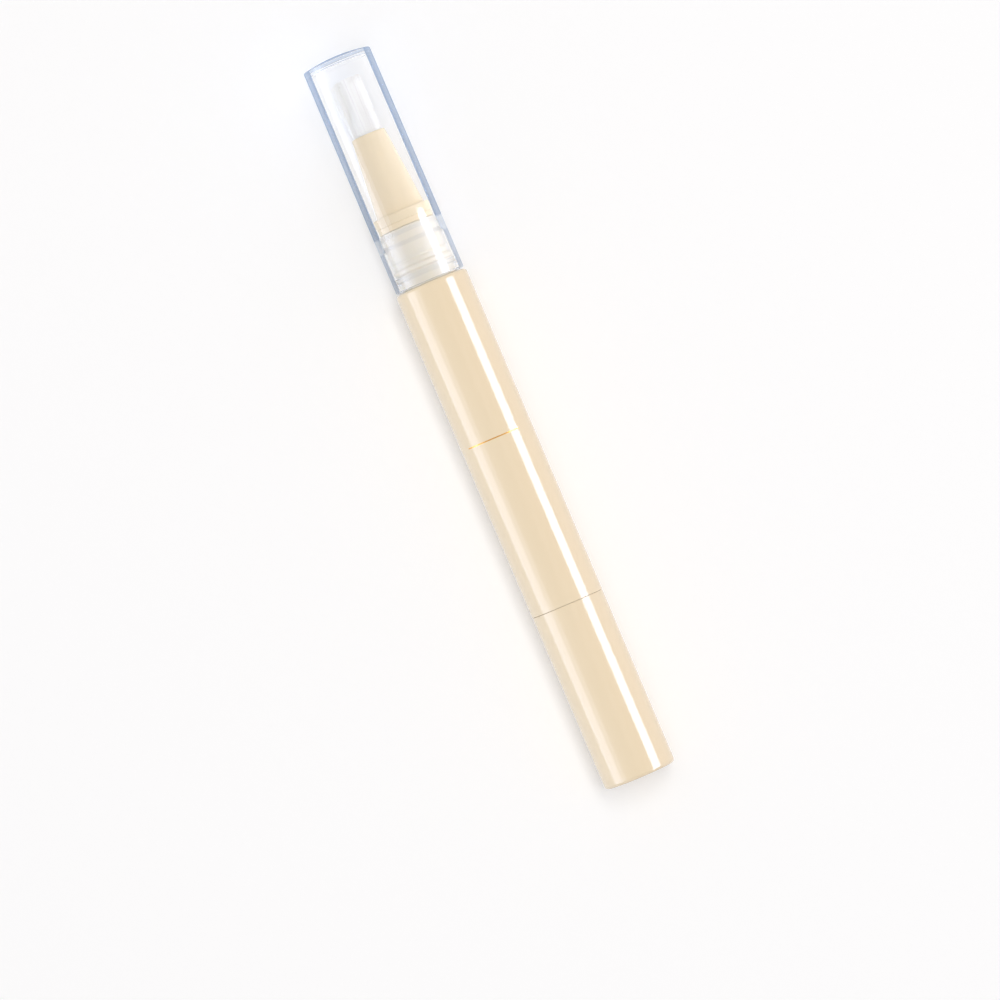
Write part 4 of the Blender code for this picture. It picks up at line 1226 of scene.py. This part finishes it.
@dataclass(frozen=True)
class Lamp:
    """One rectangular softbox, aimed square at the pen's axis; sizes and places are in metres."""

    name: str
    location: tuple[float, float, float]
    size: tuple[float, float]
    power: float
    colour: str
    diffuse: bool = True
    gloss: bool = True
    for_object: bool = False

    def build(self, lit: bpy.types.Collection) -> None:
        """Builds the lamp, with its long side along the pen.

        Args:
            lit: The pieces that a lamp for the object alone lights, as behind a studio flag.
        """
        data = bpy.data.lights.new(self.name, "AREA")
        data.shape = "RECTANGLE"
        data.size, data.size_y = self.size
        data.energy = self.power
        data.color = linear_rgb(self.colour)[:3]
        lamp = bpy.data.objects.new(self.name, data)
        bpy.context.scene.collection.objects.link(lamp)
        target = Vector((self.location[0], 0, AXIS_HEIGHT * MM))
        back = (Vector(self.location) - target).normalized()
        along = Vector((1, 0, 0))
        along = (along - back * along.dot(back)).normalized()
        lamp.rotation_euler = Matrix((along, back.cross(along), back)).transposed().to_euler()
        lamp.location = self.location
        lamp.visible_camera = False
        lamp.visible_transmission = False
        lamp.visible_diffuse = self.diffuse
        lamp.visible_glossy = self.gloss
        if self.for_object:
            lamp.light_linking.receiver_collection = lit


@dataclass(frozen=True)
class Studio:
    """A pale floor, soft lamps and the camera straight above, turned as in the photograph."""

    floor_half: float = 3.0
    sky_colour: str = "#FDFCFD"
    sky_level: float = 0.55
    camera_turn: float = math.radians(-113.03)
    camera_place: tuple[float, float, float] = (-0.0150, 0.00394, 1.057)
    view_width: float = 0.18337
    sensor: float = 36.0
    lamps: tuple[Lamp, ...] = (
        Lamp("key softbox", (0.1, -0.26, 1.3), (0.9, 0.36), 4.8, "#FFFCF6", gloss=False),
        Lamp("top softbox", (0.0, 0.0, 1.3), (1.0, 0.8), 2.5, "#FFFFFF", gloss=False),
        Lamp("left wash", (0, 0.8, 0.11), (1, 0.2), 2.9, "#CBDEFF", gloss=False, for_object=True),
        Lamp("right wash", (0, -0.8, 0.11), (1, 0.2), 2.2, "#DCE0FA", gloss=False, for_object=True),
        Lamp("strip", (-0.2625, -0.52, 0.31), (0.675, 0.29), 7.1, "#D8E4FF", diffuse=False),
        Lamp("fill", (-0.18, 0.625, 0.192), (0.84, 0.35), 3.6, "#DAE4FF", diffuse=False),
        Lamp("feather", (-0.18, 0.544, 0.447), (0.84, 0.15), 0.65, "#DAE4FF", diffuse=False),
    )

    def build(self) -> None:
        """Builds the floor, the world, the lamps and the camera."""
        lit = bpy.data.collections.new("pen pieces")
        for piece in bpy.context.scene.objects:
            if piece.type == "MESH":
                lit.objects.link(piece)
        self.floor()
        self.world()
        for lamp in self.lamps:
            lamp.build(lit)
        self.camera()
        bpy.context.scene.view_settings.view_transform = "Standard"

    def floor(self) -> None:
        """Builds the floor."""
        half = self.floor_half
        mesh = bpy.data.meshes.new("studio_floor")
        corners = [(-half, -half, 0), (half, -half, 0), (half, half, 0), (-half, half, 0)]
        mesh.from_pydata(corners, [], [(0, 1, 2, 3)])
        mesh.materials.append(STUDIO_PAPER.material())
        floor = bpy.data.objects.new("studio_floor", mesh)
        bpy.context.scene.collection.objects.link(floor)

    def world(self) -> None:
        """Builds the world: plain white to the eye, and a slightly cool, even light on the object."""
        world = bpy.data.worlds.new("studio")
        world.use_nodes = True
        world.cycles.sampling_method = "NONE"  # Its light then isn't counted twice under the cap
        bpy.context.scene.world = world
        world.node_tree.nodes.clear()
        add = partial(add_node, world.node_tree)
        light = {"Color": linear_rgb(self.sky_colour), "Strength": self.sky_level}
        sky = add("Background", light)
        white = add("Background", {"Color": WHITE, "Strength": 1.0})
        add("OutputWorld", {"Surface": add("MixShader", {0: seen_directly(add), 1: sky, 2: white})})

    def camera(self) -> None:
        """Builds the camera, which sees what the photograph does at the height of the pen's axis."""
        data = bpy.data.cameras.new("camera")
        data.sensor_width = self.sensor
        distance = self.camera_place[2] - AXIS_HEIGHT * MM
        data.lens = self.sensor * distance / self.view_width
        data.dof.use_dof = False
        camera = bpy.data.objects.new("camera", data)
        camera.location = self.camera_place
        camera.rotation_euler = (0, 0, self.camera_turn)
        bpy.context.scene.collection.objects.link(camera)
        bpy.context.scene.camera = camera


def main() -> None:
    """Builds the pen, then the studio."""
    logging.basicConfig(level=logging.INFO, format="%(message)s")
    for part in (Barrel(), TwistKnob(), Reservoir(), Nose(), Brush(), Cap(), DriveTrain(), Studio()):
        part.build()
    bpy.context.view_layer.update()


if __name__ == "__main__":
    main()
